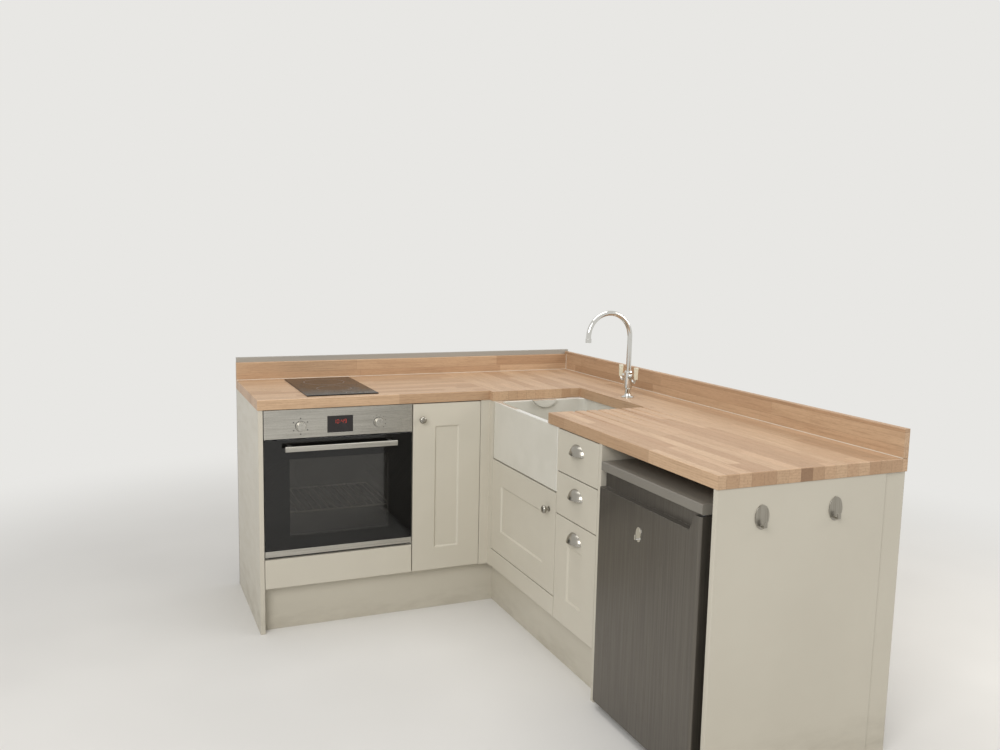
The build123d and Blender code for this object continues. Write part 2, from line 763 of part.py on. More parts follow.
def unit_front(front_plane, width, height, framed=True, hinge_edge=0):
    """Make a framed or plain front; the plane is on its outer face and points into the unit.

    hinge_edge is -1 or 1 where the back is bored for hinge cups near that edge.
    """
    with BuildPart() as front:
        with BuildSketch(front_plane):
            Rectangle(width, height)
        extrude(amount=door_thickness)
        inward = Axis(front_plane.origin, front_plane.z_dir)
        fillet(front.faces().sort_by(inward)[0].edges(), front_round)
        if framed:
            with BuildSketch(front_plane):
                Rectangle(width - 2 * frame_width, height - 2 * frame_width)
            extrude(amount=panel_recess, taper=45, mode=Mode.SUBTRACT)
        if hinge_edge:
            with BuildSketch(front_plane.offset(door_thickness)):
                cup_offset = hinge_edge * (width / 2 - hinge_cup_from_edge)
                for end in (-1, 1):
                    with Locations((cup_offset, end * (height / 2 - hinge_from_end))):
                        Circle(hinge_cup_radius)
            extrude(amount=-hinge_cup_depth, mode=Mode.SUBTRACT)
    return front


def hinge_arms(front_plane, width, height, hinge_edge):
    """Make the two hinges of a front: cup, flange and the arm that lies on the unit's side."""
    cup_offset = hinge_edge * (width / 2 - hinge_cup_from_edge)
    arm_outer = hinge_edge * (width / 2 + reveal - board - fit_gap)
    arm_inner = arm_outer - hinge_edge * hinge_arm_thickness
    flange_inner = cup_offset - hinge_edge * hinge_cup_radius
    with BuildPart() as hinges:
        for end in (-1, 1):
            level = end * (height / 2 - hinge_from_end)
            with BuildSketch(front_plane.offset(door_thickness - hinge_cup_depth)):
                with Locations((cup_offset, level)):
                    Circle(hinge_cup_radius - fit_gap)
            extrude(amount=hinge_cup_depth)
            with BuildSketch(front_plane.offset(door_thickness)):
                with Locations(((arm_outer + flange_inner) / 2, level)):
                    Rectangle(abs(flange_inner - arm_outer), hinge_flange_height)
            extrude(amount=hinge_flange_thickness)
            with BuildSketch(front_plane.offset(door_thickness)):
                with Locations(((arm_outer + arm_inner) / 2, level)):
                    Rectangle(hinge_arm_thickness, hinge_arm_width)
            extrude(amount=hinge_arm_reach)
    return hinges


# Narrow door of the peninsula
narrow_width = narrow_unit_width - 2 * reveal
front_height = front_top - front_bottom
narrow_plane = Plane((x_narrow + reveal + narrow_width / 2, face_y, front_bottom + front_height / 2),
                     x_dir=(1, 0, 0), z_dir=(0, 1, 0))
write(unit_front(narrow_plane, narrow_width, front_height, hinge_edge=1), "narrow_door")
write(hinge_arms(narrow_plane, narrow_width, front_height, 1), "narrow_door_hinges")

# Door under the sink
sink_door_width = sink_unit_width - 2 * reveal
sink_door_height = sink_bottom - sink_door_top_gap - sink_door_bottom
sink_door_plane = Plane((face_x, y_sink + reveal + sink_door_width / 2,
                         sink_door_bottom + sink_door_height / 2), x_dir=(0, 1, 0), z_dir=(1, 0, 0))
write(unit_front(sink_door_plane, sink_door_width, sink_door_height, hinge_edge=1), "sink_door")
write(hinge_arms(sink_door_plane, sink_door_width, sink_door_height, 1), "sink_door_hinges")


def door_knob(name, place, outward):
    """Turn a knob and stand it on a door face."""
    knob_face = knob_projection - knob_face_rise
    knob_widest = (knob_neck_length + knob_projection) / 2
    with BuildPart() as knob:
        with BuildSketch(Plane.XZ):
            with BuildLine():
                Polyline((0, 0), (knob_base_radius, 0), (knob_base_radius, knob_base_thickness),
                         (knob_neck_radius, 2 * knob_base_thickness), (knob_neck_radius, knob_neck_length))
                ThreePointArc((knob_neck_radius, knob_neck_length), (knob_radius, knob_widest),
                              (knob_face_radius, knob_face))
                Polyline((knob_face_radius, knob_face), (0, knob_projection), (0, 0))
            make_face()
        revolve(axis=Axis.Z)
    knob.part.locate(Plane(place, z_dir=outward).location)
    write(knob, name)


door_knob("narrow_door_knob", (x_narrow + knob_inset, face_y, front_top - narrow_knob_drop), (0, -1, 0))
door_knob("sink_door_knob", (face_x, y_sink + sink_knob_inset, sink_door_plane.origin.Z
                             + sink_door_height / 2 - sink_knob_drop), (-1, 0, 0))

# Drawer fronts from the top down, each with its box, cup handle and runners
top_bottom = front_top - top_drawer_height
middle_top = top_bottom - drawer_gap
middle_bottom = middle_top - middle_drawer_height
lower_top = middle_bottom - drawer_gap
drawer_levels = [(top_bottom, front_top, small_box_height), (middle_bottom, middle_top, small_box_height),
                 (front_bottom, lower_top, deep_box_height)]
drawer_width = drawer_unit_width - 2 * reveal
box_y = (y_drawer + board + drawer_side_gap, y_sink - board - drawer_side_gap)


def cup_handle(name, top):
    """Make a cup pull: a low turned dome of thin metal with a rim, cut off at the drawer face."""
    plan_radius = (cup_width ** 2 / 4 + cup_projection ** 2) / (2 * cup_projection)
    back = plan_radius - cup_projection
    low = top - cup_drop - cup_height / 2
    outer_foot = (plan_radius - cup_rim_step, cup_rim)
    inner_foot = (outer_foot[0] - cup_metal, cup_rim)
    with BuildPart() as cup:
        with BuildSketch(Plane.XZ):
            with BuildLine():
                Polyline((inner_foot[0], 0), (plan_radius, 0), (plan_radius, cup_rim), outer_foot)
                SagittaArc(outer_foot, (back, cup_height), -cup_bulge)
                Line((back, cup_height), (back, cup_height - cup_metal))
                SagittaArc((back, cup_height - cup_metal), inner_foot, cup_bulge)
                Line(inner_foot, (inner_foot[0], 0))
            make_face()
        revolve(axis=Axis.Z)
        split(bisect_by=Plane.YZ.offset(-back), keep=Keep.BOTTOM)
    cup.part.position = (face_x + back, drawer_middle, low)
    write(cup, name)


for number, (low, high, box_height) in enumerate(drawer_levels, start=1):
    plane = Plane((face_x, drawer_middle, (low + high) / 2), x_dir=(0, 1, 0), z_dir=(1, 0, 0))
    is_deep = number == len(drawer_levels)
    write(unit_front(plane, drawer_width, high - low, framed=is_deep), f"drawer_front_{number}")
    box_x = (face_x + door_thickness, face_x + door_thickness + drawer_box_length)
    box_z = (low + box_lift, low + box_lift + box_height)
    with BuildPart() as drawer_box:
        block(box_x, box_y, box_z)
        block((box_x[0] + drawer_side, box_x[1] - drawer_side),
              (box_y[0] + drawer_side, box_y[1] - drawer_side),
              (box_z[0] + drawer_base, box_z[1]), Mode.SUBTRACT)
    write(drawer_box, f"drawer_box_{number}")
    cup_handle(f"cup_handle_{number}", high)

with BuildPart() as drawer_runners:
    for low, high, box_height in drawer_levels:
        runner_x = (front_x + runner_setback, front_x + drawer_box_length)
        ledge_top = low + box_lift - runner_clearance
        for wall, inward in ((y_drawer + board, 1), (y_sink - board, -1)):
            web = sorted((wall, wall + inward * runner_web))
            ledge = sorted((wall, wall + inward * (drawer_side_gap + drawer_side)))
            block(runner_x, web, (ledge_top - runner_web, ledge_top + runner_height))
            block(runner_x, ledge, (ledge_top - runner_web, ledge_top))
write(drawer_runners, "drawer_runners")

# Fridge: hollow cabinet, top, glass shelves, hinge brackets and door
fridge_middle = (y_gable + y_fridge) / 2
fridge_y = (fridge_middle - fridge_width / 2, fridge_middle + fridge_width / 2)
fridge_door_x = (face_x - fridge_proud, face_x - fridge_proud + fridge_door_thickness)
fridge_body_x = (fridge_door_x[1] + fridge_seal_gap, fridge_door_x[1] + fridge_seal_gap + fridge_body_depth)
fridge_inside_y = (fridge_y[0] + fridge_wall, fridge_y[1] - fridge_wall)
fridge_inside_z = (fridge_bottom + fridge_floor, fridge_body_top - fridge_wall)
bay_x = fridge_body_x[1] - compressor_bay_depth
bay_top = fridge_bottom + compressor_bay_height
hump_x = bay_x - compressor_hump_wall
hump_top = bay_top + compressor_hump_wall
shelf_front_x = fridge_body_x[0] + fridge_shelf_setback
with BuildPart() as fridge_cabinet:
    block(fridge_body_x, fridge_y, (fridge_bottom, fridge_body_top))
    inside_back = fridge_body_x[1] - fridge_wall
    block((fridge_body_x[0], inside_back), fridge_inside_y, fridge_inside_z, Mode.SUBTRACT)
    block((hump_x, inside_back), fridge_inside_y, (fridge_inside_z[0], hump_top))
    block((bay_x, fridge_body_x[1]), (fridge_y[0] + compressor_bay_side, fridge_y[1] - compressor_bay_side),
          (fridge_bottom, bay_top), Mode.SUBTRACT)
    for level in range(1, fridge_shelf_count + 1):
        ledge_z = fridge_inside_z[0] + level * fridge_shelf_pitch
        for y in ((fridge_inside_y[0], fridge_inside_y[0] + fridge_ledge),
                  (fridge_inside_y[1] - fridge_ledge, fridge_inside_y[1])):
            block((shelf_front_x, inside_back), y, (ledge_z - fridge_ledge, ledge_z))
    for x in (fridge_body_x[0] + fridge_wall, bay_x - fridge_foot_radius):
        for y in fridge_inside_y:
            with Locations((x, y, 0)):
                Cylinder(fridge_foot_radius, fridge_bottom, align=(Align.CENTER, Align.CENTER, Align.MIN))
write(fridge_cabinet, "fridge_cabinet")

with BuildPart() as fridge_top:
    block((face_x - fridge_proud + fridge_top_setback, fridge_body_x[1]), fridge_y,
          (fridge_body_top, fridge_body_top + fridge_top_thickness))
    fillet(fridge_top.edges().filter_by(Axis.Y).group_by(Axis.X)[0], edge_round)
write(fridge_top, "fridge_top")

with BuildPart() as fridge_shelves:
    for level in range(1, fridge_shelf_count + 1):
        shelf_bottom = fridge_inside_z[0] + level * fridge_shelf_pitch
        block((shelf_front_x, inside_back - fit_gap),
              (fridge_inside_y[0] + fridge_shelf_play, fridge_inside_y[1] - fridge_shelf_play),
              (shelf_bottom, shelf_bottom + fridge_glass))
write(fridge_shelves, "fridge_shelves")

pivot_x = fridge_door_x[1] - fridge_pivot_from_back
pivot_y = fridge_y[0] + fridge_pivot_from_side
with BuildPart() as fridge_hinges:
    for door_end, outward in ((fridge_door_top, 1), (fridge_door_bottom, -1)):
        plate_near = door_end + outward * pivot_plate_gap
        plate_z = sorted((plate_near, plate_near + outward * pivot_plate_thickness))
        pin_z = sorted((plate_near, door_end - outward * pivot_pin_length))
        block((pivot_x - pivot_pin_radius, fridge_body_x[0]),
              (pivot_y - pivot_plate_half, pivot_y + pivot_plate_half), plate_z)
        with Locations((pivot_x, pivot_y, pin_z[0])):
            Cylinder(pivot_pin_radius, pin_z[1] - pin_z[0], align=(Align.CENTER, Align.CENTER, Align.MIN))
write(fridge_hinges, "fridge_hinges")

pin_hole_depth = pivot_pin_length + pivot_end_gap
with BuildPart() as fridge_door:
    block(fridge_door_x, fridge_y, (fridge_door_bottom, fridge_door_top))
    fillet(fridge_door.edges().filter_by(Axis.Z).group_by(Axis.X)[0], fridge_door_round)
    with BuildSketch(Plane.YZ.offset(fridge_door_x[0])):
        with BuildLine():
            Polyline((fridge_y[1], fridge_door_top - grip_height),
                     (fridge_y[0] + grip_end + grip_slant, fridge_door_top - grip_height),
                     (fridge_y[0] + grip_end, fridge_door_top), (fridge_y[1], fridge_door_top), close=True)
        make_face()
    extrude(amount=grip_depth, mode=Mode.SUBTRACT)
    for pin_z in (fridge_door_bottom, fridge_door_top - pin_hole_depth):
        with Locations((pivot_x, pivot_y, pin_z)):
            Cylinder(pivot_pin_radius + pin_clearance, pin_hole_depth,
                     align=(Align.CENTER, Align.CENTER, Align.MIN), mode=Mode.SUBTRACT)
write(fridge_door, "fridge_door")

# White liner on the inside of the fridge door, with two raised banks and bottle bins between them
liner_y = (fridge_inside_y[0] + liner_hinge_gap, fridge_inside_y[1] - liner_free_gap)
liner_z = (fridge_inside_z[0] + liner_end_gap, fridge_inside_z[1] - liner_end_gap)
liner_face = fridge_door_x[1] + liner_skin
bin_y = (liner_y[0] + liner_bank_width - fuse_depth, liner_y[1] - liner_bank_width + fuse_depth)
with BuildPart() as fridge_door_liner:
    block((fridge_door_x[1], liner_face), liner_y, liner_z)
    for y in ((liner_y[0], liner_y[0] + liner_bank_width), (liner_y[1] - liner_bank_width, liner_y[1])):
        block((liner_face, fridge_door_x[1] + liner_bank_depth), y, liner_z)
    for number in range(bin_count):
        bin_bottom = liner_z[0] + bin_first + number * bin_pitch
        for inset, mode in ((0, Mode.ADD), (bin_wall, Mode.SUBTRACT)):
            front = liner_face + bin_reach - inset
            with BuildSketch(Plane.XY.offset(bin_bottom + inset)):
                with BuildLine():
                    FilletPolyline((liner_face, bin_y[0] + inset), (front, bin_y[0] + inset),
                                   (front, bin_y[1] - inset), (liner_face, bin_y[1] - inset),
                                   radius=bin_corner - inset)
                    Line((liner_face, bin_y[1] - inset), (liner_face, bin_y[0] + inset))
                make_face()
            extrude(amount=bin_height - inset, mode=mode)
write(fridge_door_liner, "fridge_door_liner")

# Mixer tap: body through the worktop, swivelling swan neck and two curled levers
with BuildPart() as tap_body:
    with BuildSketch(Plane.XZ):
        with BuildLine():
            Polyline((0, worktop_top), (tap_flange_radius, worktop_top),
                     (tap_flange_radius, worktop_top + tap_flange_thickness),
                     (tap_neck_radius + tap_foot_flare, worktop_top + 2 * tap_flange_thickness),
                     (tap_neck_radius, worktop_top + tap_foot_height),
                     (tap_neck_radius, worktop_top + tap_neck_height),
                     (tap_column_radius, worktop_top + tap_neck_height + tap_flange_thickness),
                     (tap_column_radius, tap_top - tap_cap_height),
                     (tap_column_radius - tap_cap_taper, tap_top), (0, tap_top), close=True)
        make_face()
    revolve(axis=Axis.Z)
    with Locations((0, 0, unit_top - tap_nut_height - tap_shank_below)):
        Cylinder(tap_shank_radius, worktop_thickness + tap_nut_height + tap_shank_below,
                 align=(Align.CENTER, Align.CENTER, Align.MIN))
    with Locations((0, 0, unit_top - tap_nut_height)):
        Cylinder(tap_nut_radius, tap_nut_height, align=(Align.CENTER, Align.CENTER, Align.MIN))
    with Locations(Location((0, 0, lever_axis_height), (90, 0, 0))):
        Cylinder(lever_boss_radius, 2 * lever_boss_reach)
    with Locations((0, 0, tap_top)):
        Cylinder(spout_spigot_radius + pin_clearance, 2 * spout_spigot_length, mode=Mode.SUBTRACT)
tap_body.part.position = (tap_x, tap_y, 0)
write(tap_body, "tap_body")

with BuildPart() as tap_spout:
    with BuildLine() as spout_path:
        Line((0, 0, tap_top + fit_gap), (0, 0, spout_arc_height))
        ThreePointArc((0, 0, spout_arc_height), (-spout_reach / 2, 0, spout_arc_height + spout_reach / 2),
                      (-spout_reach, 0, spout_arc_height))
        Line((-spout_reach, 0, spout_arc_height), (-spout_reach, 0, spout_arc_height - spout_drop))
    with BuildSketch(Plane.XY.offset(tap_top + fit_gap)):
        Circle(spout_radius)
    sweep(path=spout_path.line)
    with Locations((0, 0, tap_top + fuse_depth - spout_spigot_length)):
        Cylinder(spout_spigot_radius, spout_spigot_length, align=(Align.CENTER, Align.CENTER, Align.MIN))
    with Locations((-spout_reach, 0, spout_arc_height - spout_drop - aerator_height)):
        Cylinder(aerator_radius, aerator_height, align=(Align.CENTER, Align.CENTER, Align.MIN))
        Cylinder(aerator_radius - aerator_wall, aerator_height / 2,
                 align=(Align.CENTER, Align.CENTER, Align.MIN), mode=Mode.SUBTRACT)
tap_spout.part.position = (tap_x, tap_y, 0)
write(tap_spout, "tap_spout")


def tap_lever(name, side):
    """Make one lever: a collar on the boss, an arm that curls down and up again, and a round grip."""
    collar_start = lever_boss_reach + fit_gap
    arm_root = collar_start + lever_collar_length / 2
    arm_bend = (lever_spread - arm_root) / 2
    with BuildPart() as lever:
        with BuildLine() as arm_path:
            Line((0, side * arm_root, lever_axis_height), (0, side * arm_root, lever_grip_bottom))
            ThreePointArc((0, side * arm_root, lever_grip_bottom),
                          (0, side * (arm_root + arm_bend), lever_grip_bottom - arm_bend),
                          (0, side * lever_spread, lever_grip_bottom))
            Line((0, side * lever_spread, lever_grip_bottom),
                 (0, side * lever_spread, lever_grip_bottom + fuse_depth))
        with BuildSketch(Plane((0, side * arm_root, lever_axis_height), z_dir=(0, 0, -1))):
            Circle(lever_arm_radius)
        sweep(path=arm_path.line)
        with Locations((0, side * lever_spread, lever_grip_bottom)):
            Cone(lever_grip_radius - lever_grip_taper, lever_grip_radius, lever_grip_height,
                 align=(Align.CENTER, Align.CENTER, Align.MIN))
        fillet(lever.faces().sort_by(Axis.Z)[-1].edges(), lever_grip_round)
        with Locations(Location((0, side * arm_root, lever_axis_height), (90, 0, 0))):
            Cylinder(lever_boss_radius, lever_collar_length)
    lever.part.position = (tap_x, tap_y, 0)
    write(lever, name)


tap_lever("tap_lever_left", 1)
tap_lever("tap_lever_right", -1)


def oval_hook(back_plane, width, height, reach):
    """Make an oval plate with a bent hook at its foot; the plane is on the surface it sticks to."""
    tongue_width = width / 4
    low = hook_foot - height / 2
    with BuildPart() as hook:
        with BuildSketch(back_plane):
            Ellipse(width / 2, height / 2)
        extrude(amount=hook_metal)
        with BuildSketch(Plane(back_plane.origin + back_plane.x_dir * (tongue_width / 2),
                               x_dir=back_plane.z_dir, z_dir=-back_plane.x_dir)):
            with BuildLine():
                Polyline((0, low), (reach, low), (reach, low + hook_tip_rise),
                         (reach - hook_metal, low + hook_tip_rise), (reach - hook_metal, low + hook_metal),
                         (0, low + hook_metal), close=True)
            make_face()
        extrude(amount=tongue_width)
    return hook.part


with BuildPart() as end_panel_hooks:
    for hook_x in (face_x + hook_first, face_x + hook_first + hook_pitch):
        add(oval_hook(Plane((hook_x, y_right, hook_height), x_dir=(1, 0, 0), z_dir=(0, -1, 0)),
                      hook_width, hook_length, hook_reach))
write(end_panel_hooks, "end_panel_hooks")

with BuildPart() as fridge_door_hook:
    small_hook_plane = Plane((fridge_door_x[0], face_y - small_hook_along_run, small_hook_height),
                             x_dir=(0, -1, 0), z_dir=(-1, 0, 0))
    add(oval_hook(small_hook_plane, small_hook_width, small_hook_length, small_hook_reach))
write(fridge_door_hook, "fridge_door_hook")
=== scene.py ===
# %% [markdown]
# # A small fitted kitchen, dressed in Blender
#
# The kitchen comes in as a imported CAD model: worktops, fronts, appliances, sink and tap, each a node at its
# real size. This lesson gives every node the finish that the real thing has, adds the thin trim that is too
# fine for the model, and lights the lot. Distances are in metres, +Z is up, the oven side faces -Y and the
# sink side faces -X.

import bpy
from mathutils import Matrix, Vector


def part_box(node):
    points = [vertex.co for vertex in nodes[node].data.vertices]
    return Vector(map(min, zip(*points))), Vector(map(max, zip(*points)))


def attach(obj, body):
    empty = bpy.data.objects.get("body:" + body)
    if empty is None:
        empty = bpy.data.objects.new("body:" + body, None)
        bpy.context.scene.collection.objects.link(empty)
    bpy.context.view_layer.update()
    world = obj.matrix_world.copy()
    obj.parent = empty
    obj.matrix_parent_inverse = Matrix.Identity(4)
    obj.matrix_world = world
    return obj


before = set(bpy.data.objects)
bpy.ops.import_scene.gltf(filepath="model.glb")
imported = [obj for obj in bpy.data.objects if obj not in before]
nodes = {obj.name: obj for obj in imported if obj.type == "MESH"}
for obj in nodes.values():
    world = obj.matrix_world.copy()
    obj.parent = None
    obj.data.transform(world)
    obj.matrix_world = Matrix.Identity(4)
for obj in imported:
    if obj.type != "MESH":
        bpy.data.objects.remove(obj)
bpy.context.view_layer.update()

# %% [markdown]
# The other tools are Python's own maths and JSON, and Blender's mesh editor. Nothing here is drawn by
# chance: the noise in the finishes is worked out from the place alone, so the kitchen is the same every
# time.

# %% Bring in the tools
import math

import bmesh
import bpy
from mathutils import Matrix, Vector

scene = bpy.context.scene
scene.view_settings.view_transform = "Standard"
print("view transform:", scene.view_settings.view_transform)

# %% [markdown]
# ## The camera
#
# A room camera at standing eye height looks across the kitchen from its open side. Its place, turn, tilt
# and lens were fitted to corners and edges of the kitchen in a frame of 1000 by 750 pixels, so the focal
# length is known in pixels first. Building the rotation from three directions keeps it readable: where the
# camera looks, its right and its up.

# %% Set up the camera
image_width = 1000
focal_pixels = 914.89
sensor_width = 36.0
camera_place = Vector((-1.3392, -3.0243, 1.5061))
camera_turn = 0.4098
camera_tilt = -0.1317
camera_roll = 0.0208

looking = Vector((math.sin(camera_turn) * math.cos(camera_tilt),
                  math.cos(camera_turn) * math.cos(camera_tilt), math.sin(camera_tilt)))
level_right = Vector((math.cos(camera_turn), -math.sin(camera_turn), 0))
level_up = level_right.cross(looking)
camera_right = level_right * math.cos(camera_roll) + level_up * math.sin(camera_roll)
camera_up = level_up * math.cos(camera_roll) - level_right * math.sin(camera_roll)

camera = bpy.data.objects.new("room_camera", bpy.data.cameras.new("room_camera"))
camera.data.sensor_width = sensor_width
camera.data.lens = focal_pixels / image_width * sensor_width
camera.matrix_world = (Matrix.Translation(camera_place)
                       @ Matrix((camera_right, camera_up, -looking)).transposed().to_4x4())
scene.collection.objects.link(camera)
scene.camera = camera
print("lens", round(camera.data.lens, 2), "mm, eye height", camera_place.z, "m")

# %% [markdown]
# ## Words for wiring shaders
#
# Every finish below is a small tree of shader nodes. Typed out in full, such trees hide what they do, so a
# few helpers come first: one feeds a socket with a link or a plain value, one adds a node, and the rest are
# the sums and noises that all finishes share.

# %% Shader helpers
node_spacing = 180


def feed(tree, socket, value):
    """Link a socket to another one, or give it a plain value."""
    if isinstance(value, bpy.types.NodeSocket):
        tree.links.new(value, socket)
    else:
        socket.default_value = value


def wire(tree, sockets, **values):
    """Feed several sockets; a name is written with underscores for spaces."""
    for label, value in values.items():
        feed(tree, sockets[label.replace("_", " ")], value)


def add_node(tree, kind, inputs, **settings):
    """Add a shader node, set it up and feed its inputs by name or number."""
    node = tree.nodes.new("ShaderNode" + kind)
    node.location.x = node_spacing * len(tree.nodes)
    for key, value in settings.items():
        setattr(node, key, value)
    for key, value in inputs.items():
        feed(tree, node.inputs[key], value)
    return node


def calc(tree, operation, *values):
    """One step of arithmetic on values or sockets."""
    return add_node(tree, "Math", dict(enumerate(values)), operation=operation).outputs[0]


def fade(tree, value, low, high, out_low=0.0, out_high=1.0):
    """Map a value from one range to another, smoothly and without overshoot."""
    inputs = {"Value": value, "From Min": low, "From Max": high, "To Min": out_low, "To Max": out_high}
    return add_node(tree, "MapRange", inputs, interpolation_type="SMOOTHSTEP").outputs[0]


def times(tree, first, second):
    """The product of two values or sockets."""
    return calc(tree, "MULTIPLY", first, second)


def plus(tree, first, second):
    """The sum of two values or sockets."""
    return calc(tree, "ADD", first, second)


def minus(tree, first, second):
    """The difference of two values or sockets."""
    return calc(tree, "SUBTRACT", first, second)


def mix_colour(tree, share, first, second):
    """Mix two colours by a share."""
    return add_node(tree, "Mix", {0: share, 6: first, 7: second}, data_type="RGBA").outputs[2]


def noise(tree, vector, scale, detail=2.0, roughness=0.5):
    """Soft random values from 0 to 1."""
    return add_node(tree, "TexNoise", {"Vector": vector, "Scale": scale, "Detail": detail,
                                       "Roughness": roughness}).outputs[0]


def mottled(tree, vector, scale, first, second):
    """Two colours in soft patches."""
    return mix_colour(tree, fade(tree, noise(tree, vector, scale), 0.3, 0.7), first, second)


def stretched(tree, vector, x, y, z):
    """Scale a position by a different amount on each axis."""
    return add_node(tree, "VectorMath", {0: vector, 1: (x, y, z)}, operation="MULTIPLY").outputs[0]


def split_vector(tree, vector):
    """The three parts of a position."""
    return add_node(tree, "SeparateXYZ", {0: vector}).outputs


def join_vector(tree, x, y, z):
    """A position from its three parts."""
    return add_node(tree, "CombineXYZ", {0: x, 1: y, 2: z}).outputs[0]


def reordered(tree, vector, order):
    """A position with its axes in another order, such as "yxz"."""
    parts = dict(zip("xyz", split_vector(tree, vector)))
    return join_vector(tree, *[parts[axis] for axis in order])


def relief(tree, height, depth, normal=None):
    """Turn a height from 0 to 1 into a bump of that depth in metres."""
    inputs = {"Height": height, "Distance": depth, "Strength": 1.0}
    if normal is not None:
        inputs["Normal"] = normal
    return add_node(tree, "Bump", inputs).outputs[0]


print("shader helpers ready")

# %% [markdown]
# An effect that several finishes share is a node group: a box with named inputs and outputs, built once and
# placed in each material with its own values. The groups give out only colours, masks and heights, and the
# material keeps the shader itself.

# %% Groups and materials
def new_group(name, inputs, outputs):
    """Start a node group; inputs are name: (kind, default) and outputs are name: kind."""
    group = bpy.data.node_groups.new(name, "ShaderNodeTree")
    for label, (kind, default) in inputs.items():
        socket = group.interface.new_socket(label, in_out="INPUT", socket_type="NodeSocket" + kind)
        if default is not None:
            socket.default_value = default
    for label, kind in outputs.items():
        group.interface.new_socket(label, in_out="OUTPUT", socket_type="NodeSocket" + kind)
    way_in = group.nodes.new("NodeGroupInput")
    way_out = group.nodes.new("NodeGroupOutput")
    return group, way_in.outputs, way_out.inputs


def place(tree, group_name, **inputs):
    """Put a group into a tree and feed its inputs."""
    node = add_node(tree, "Group", {}, node_tree=bpy.data.node_groups[group_name])
    wire(tree, node.inputs, **inputs)
    return node.outputs


def new_material(name, **plain):
    """Start a material; plain values go straight onto the Principled shader's own sockets."""
    material = bpy.data.materials.new(name)
    material.use_nodes = True
    tree = material.node_tree
    shader = tree.nodes["Principled BSDF"]
    wire(tree, shader.inputs, **plain)
    place_in_piece = add_node(tree, "TexCoord", {}).outputs["Object"]
    return material, tree, shader.inputs, place_in_piece


def colour(red, green, blue):
    """A colour from its 0 to 255 screen values, made linear for the shader."""
    return tuple(((part / 255 + 0.055) / 1.055) ** 2.4 for part in (red, green, blue)) + (1.0,)


def halfway(low, high):
    """The middle of a box, from its two corners."""
    return (low + high) / 2


def dress(material, *names):
    """Give CAD nodes a finish."""
    for name in names:
        nodes[name].data.materials.clear()
        nodes[name].data.materials.append(material)


print("group and material helpers ready")

# %% [markdown]
# ## Shared effects
#
# ** Rounded edges.** A sharp CAD edge catches no light, but a real board has its arris taken off. The Bevel
# node bends the normal near an edge, which is cheap and moves nothing. Comparing the bent normal with the
# flat one also says where the edges are. The finishes make their colour lighter there: partly wear, where
# paint and oil wear first, and partly a painted highlight along the arrises.

# %% Group: rounded edges, wear and painted edge highlight
group, given, gives = new_group("rounded edge", {"Radius": ("Float", 0.0015), "Wear": ("Float", 0.5)},
                                {"Normal": "Vector", "Edge": "Float"})
bent = add_node(group, "Bevel", {"Radius": given["Radius"]}, samples=4).outputs[0]
flat = add_node(group, "NewGeometry", {}).outputs["Normal"]
likeness = add_node(group, "VectorMath", {0: bent, 1: flat}, operation="DOT_PRODUCT").outputs["Value"]
spots = noise(group, add_node(group, "TexCoord", {}).outputs["Object"], 60.0, 3.0)
# The edge mask that the finishes lighten: partly wear, partly a painted highlight on the arrises.
edge = times(group, fade(group, likeness, 0.995, 0.8), fade(group, spots, 0.35, 0.7))
wire(group, gives, Normal=bent, Edge=times(group, edge, given["Wear"]))
print("group:", group.name)

# %% [markdown]
# **Stave block.** The worktops are glued up from hardwood staves about 40 mm wide. Cutting space into cells
# gives each stave its own number, and everything else follows from that number: its tone, where its growth
# rings are centred and how they run. Because the pattern is solid, the cut ends show ring arcs and the
# sides show long grain, as sawn timber does.

# %% Group: stave block, the cells
group, given, gives = new_group(
    "stave block",
    {"Vector": ("Vector", None), "Stave Width": ("Float", 0.04), "Stave Length": ("Float", 0.6),
     "Board": ("Float", 1.0), "Pale": ("Color", colour(201, 170, 137)),
     "Deep": ("Color", colour(172, 139, 107))},
    {"Color": "Color", "Roughness": "Float", "Height": "Float"})
along, across, through = split_vector(group, given["Vector"])
row = calc(group, "DIVIDE", across, given["Stave Width"])
row_number = calc(group, "FLOOR", row)
row_chance = add_node(group, "TexWhiteNoise", {"Vector": join_vector(group, row_number, given["Board"], 3.0)},
                      noise_dimensions="3D").outputs[0]
run = plus(group, calc(group, "DIVIDE", along, given["Stave Length"]), times(group, row_chance, 9.0))
stave = join_vector(group, row_number, calc(group, "FLOOR", run), given["Board"])
stave_chance = add_node(group, "TexWhiteNoise", {"Vector": stave}, noise_dimensions="3D").outputs
tone, tint = stave_chance[0], split_vector(group, stave_chance[1])
print("each stave gets a tone and three more random numbers")

# %% [markdown]
# The rings are circles round a pith that lies somewhere under the stave, bent a little along its length.
# Pores are dashes drawn out along the grain. The glue lines between staves are hair thin, and only a shade
# darker.

# %% Group: stave block, the grain
sideways = times(group, minus(group, calc(group, "FRACT", row), tint[0]), 0.06)
below = plus(group, through, times(group, tint[1], 0.05))
bending = noise(group, stretched(group, given["Vector"], 2.0, 14.0, 14.0), 1.0, 2.0)
pith = add_node(group, "VectorMath", {0: join_vector(group, sideways, below, 0.0)},
                operation="LENGTH").outputs["Value"]
ring = plus(group, calc(group, "DIVIDE", pith, 0.0042), times(group, bending, 7.0))
late_wood = fade(group, calc(group, "PINGPONG", ring, 1.0), 0.35, 1.0)
dashes = noise(group, stretched(group, given["Vector"], 45.0, 1300.0, 1300.0), 1.0, 2.0)
pores = fade(group, dashes, 0.52, 0.72)
streak = noise(group, stretched(group, given["Vector"], 6.0, 160.0, 160.0), 1.0, 3.0)
seam_across = times(group, calc(group, "PINGPONG", row, 0.5), given["Stave Width"])
seam_along = times(group, calc(group, "PINGPONG", run, 0.5), given["Stave Length"])
seam = fade(group, calc(group, "MINIMUM", seam_across, seam_along), 0.0007, 0.0001)

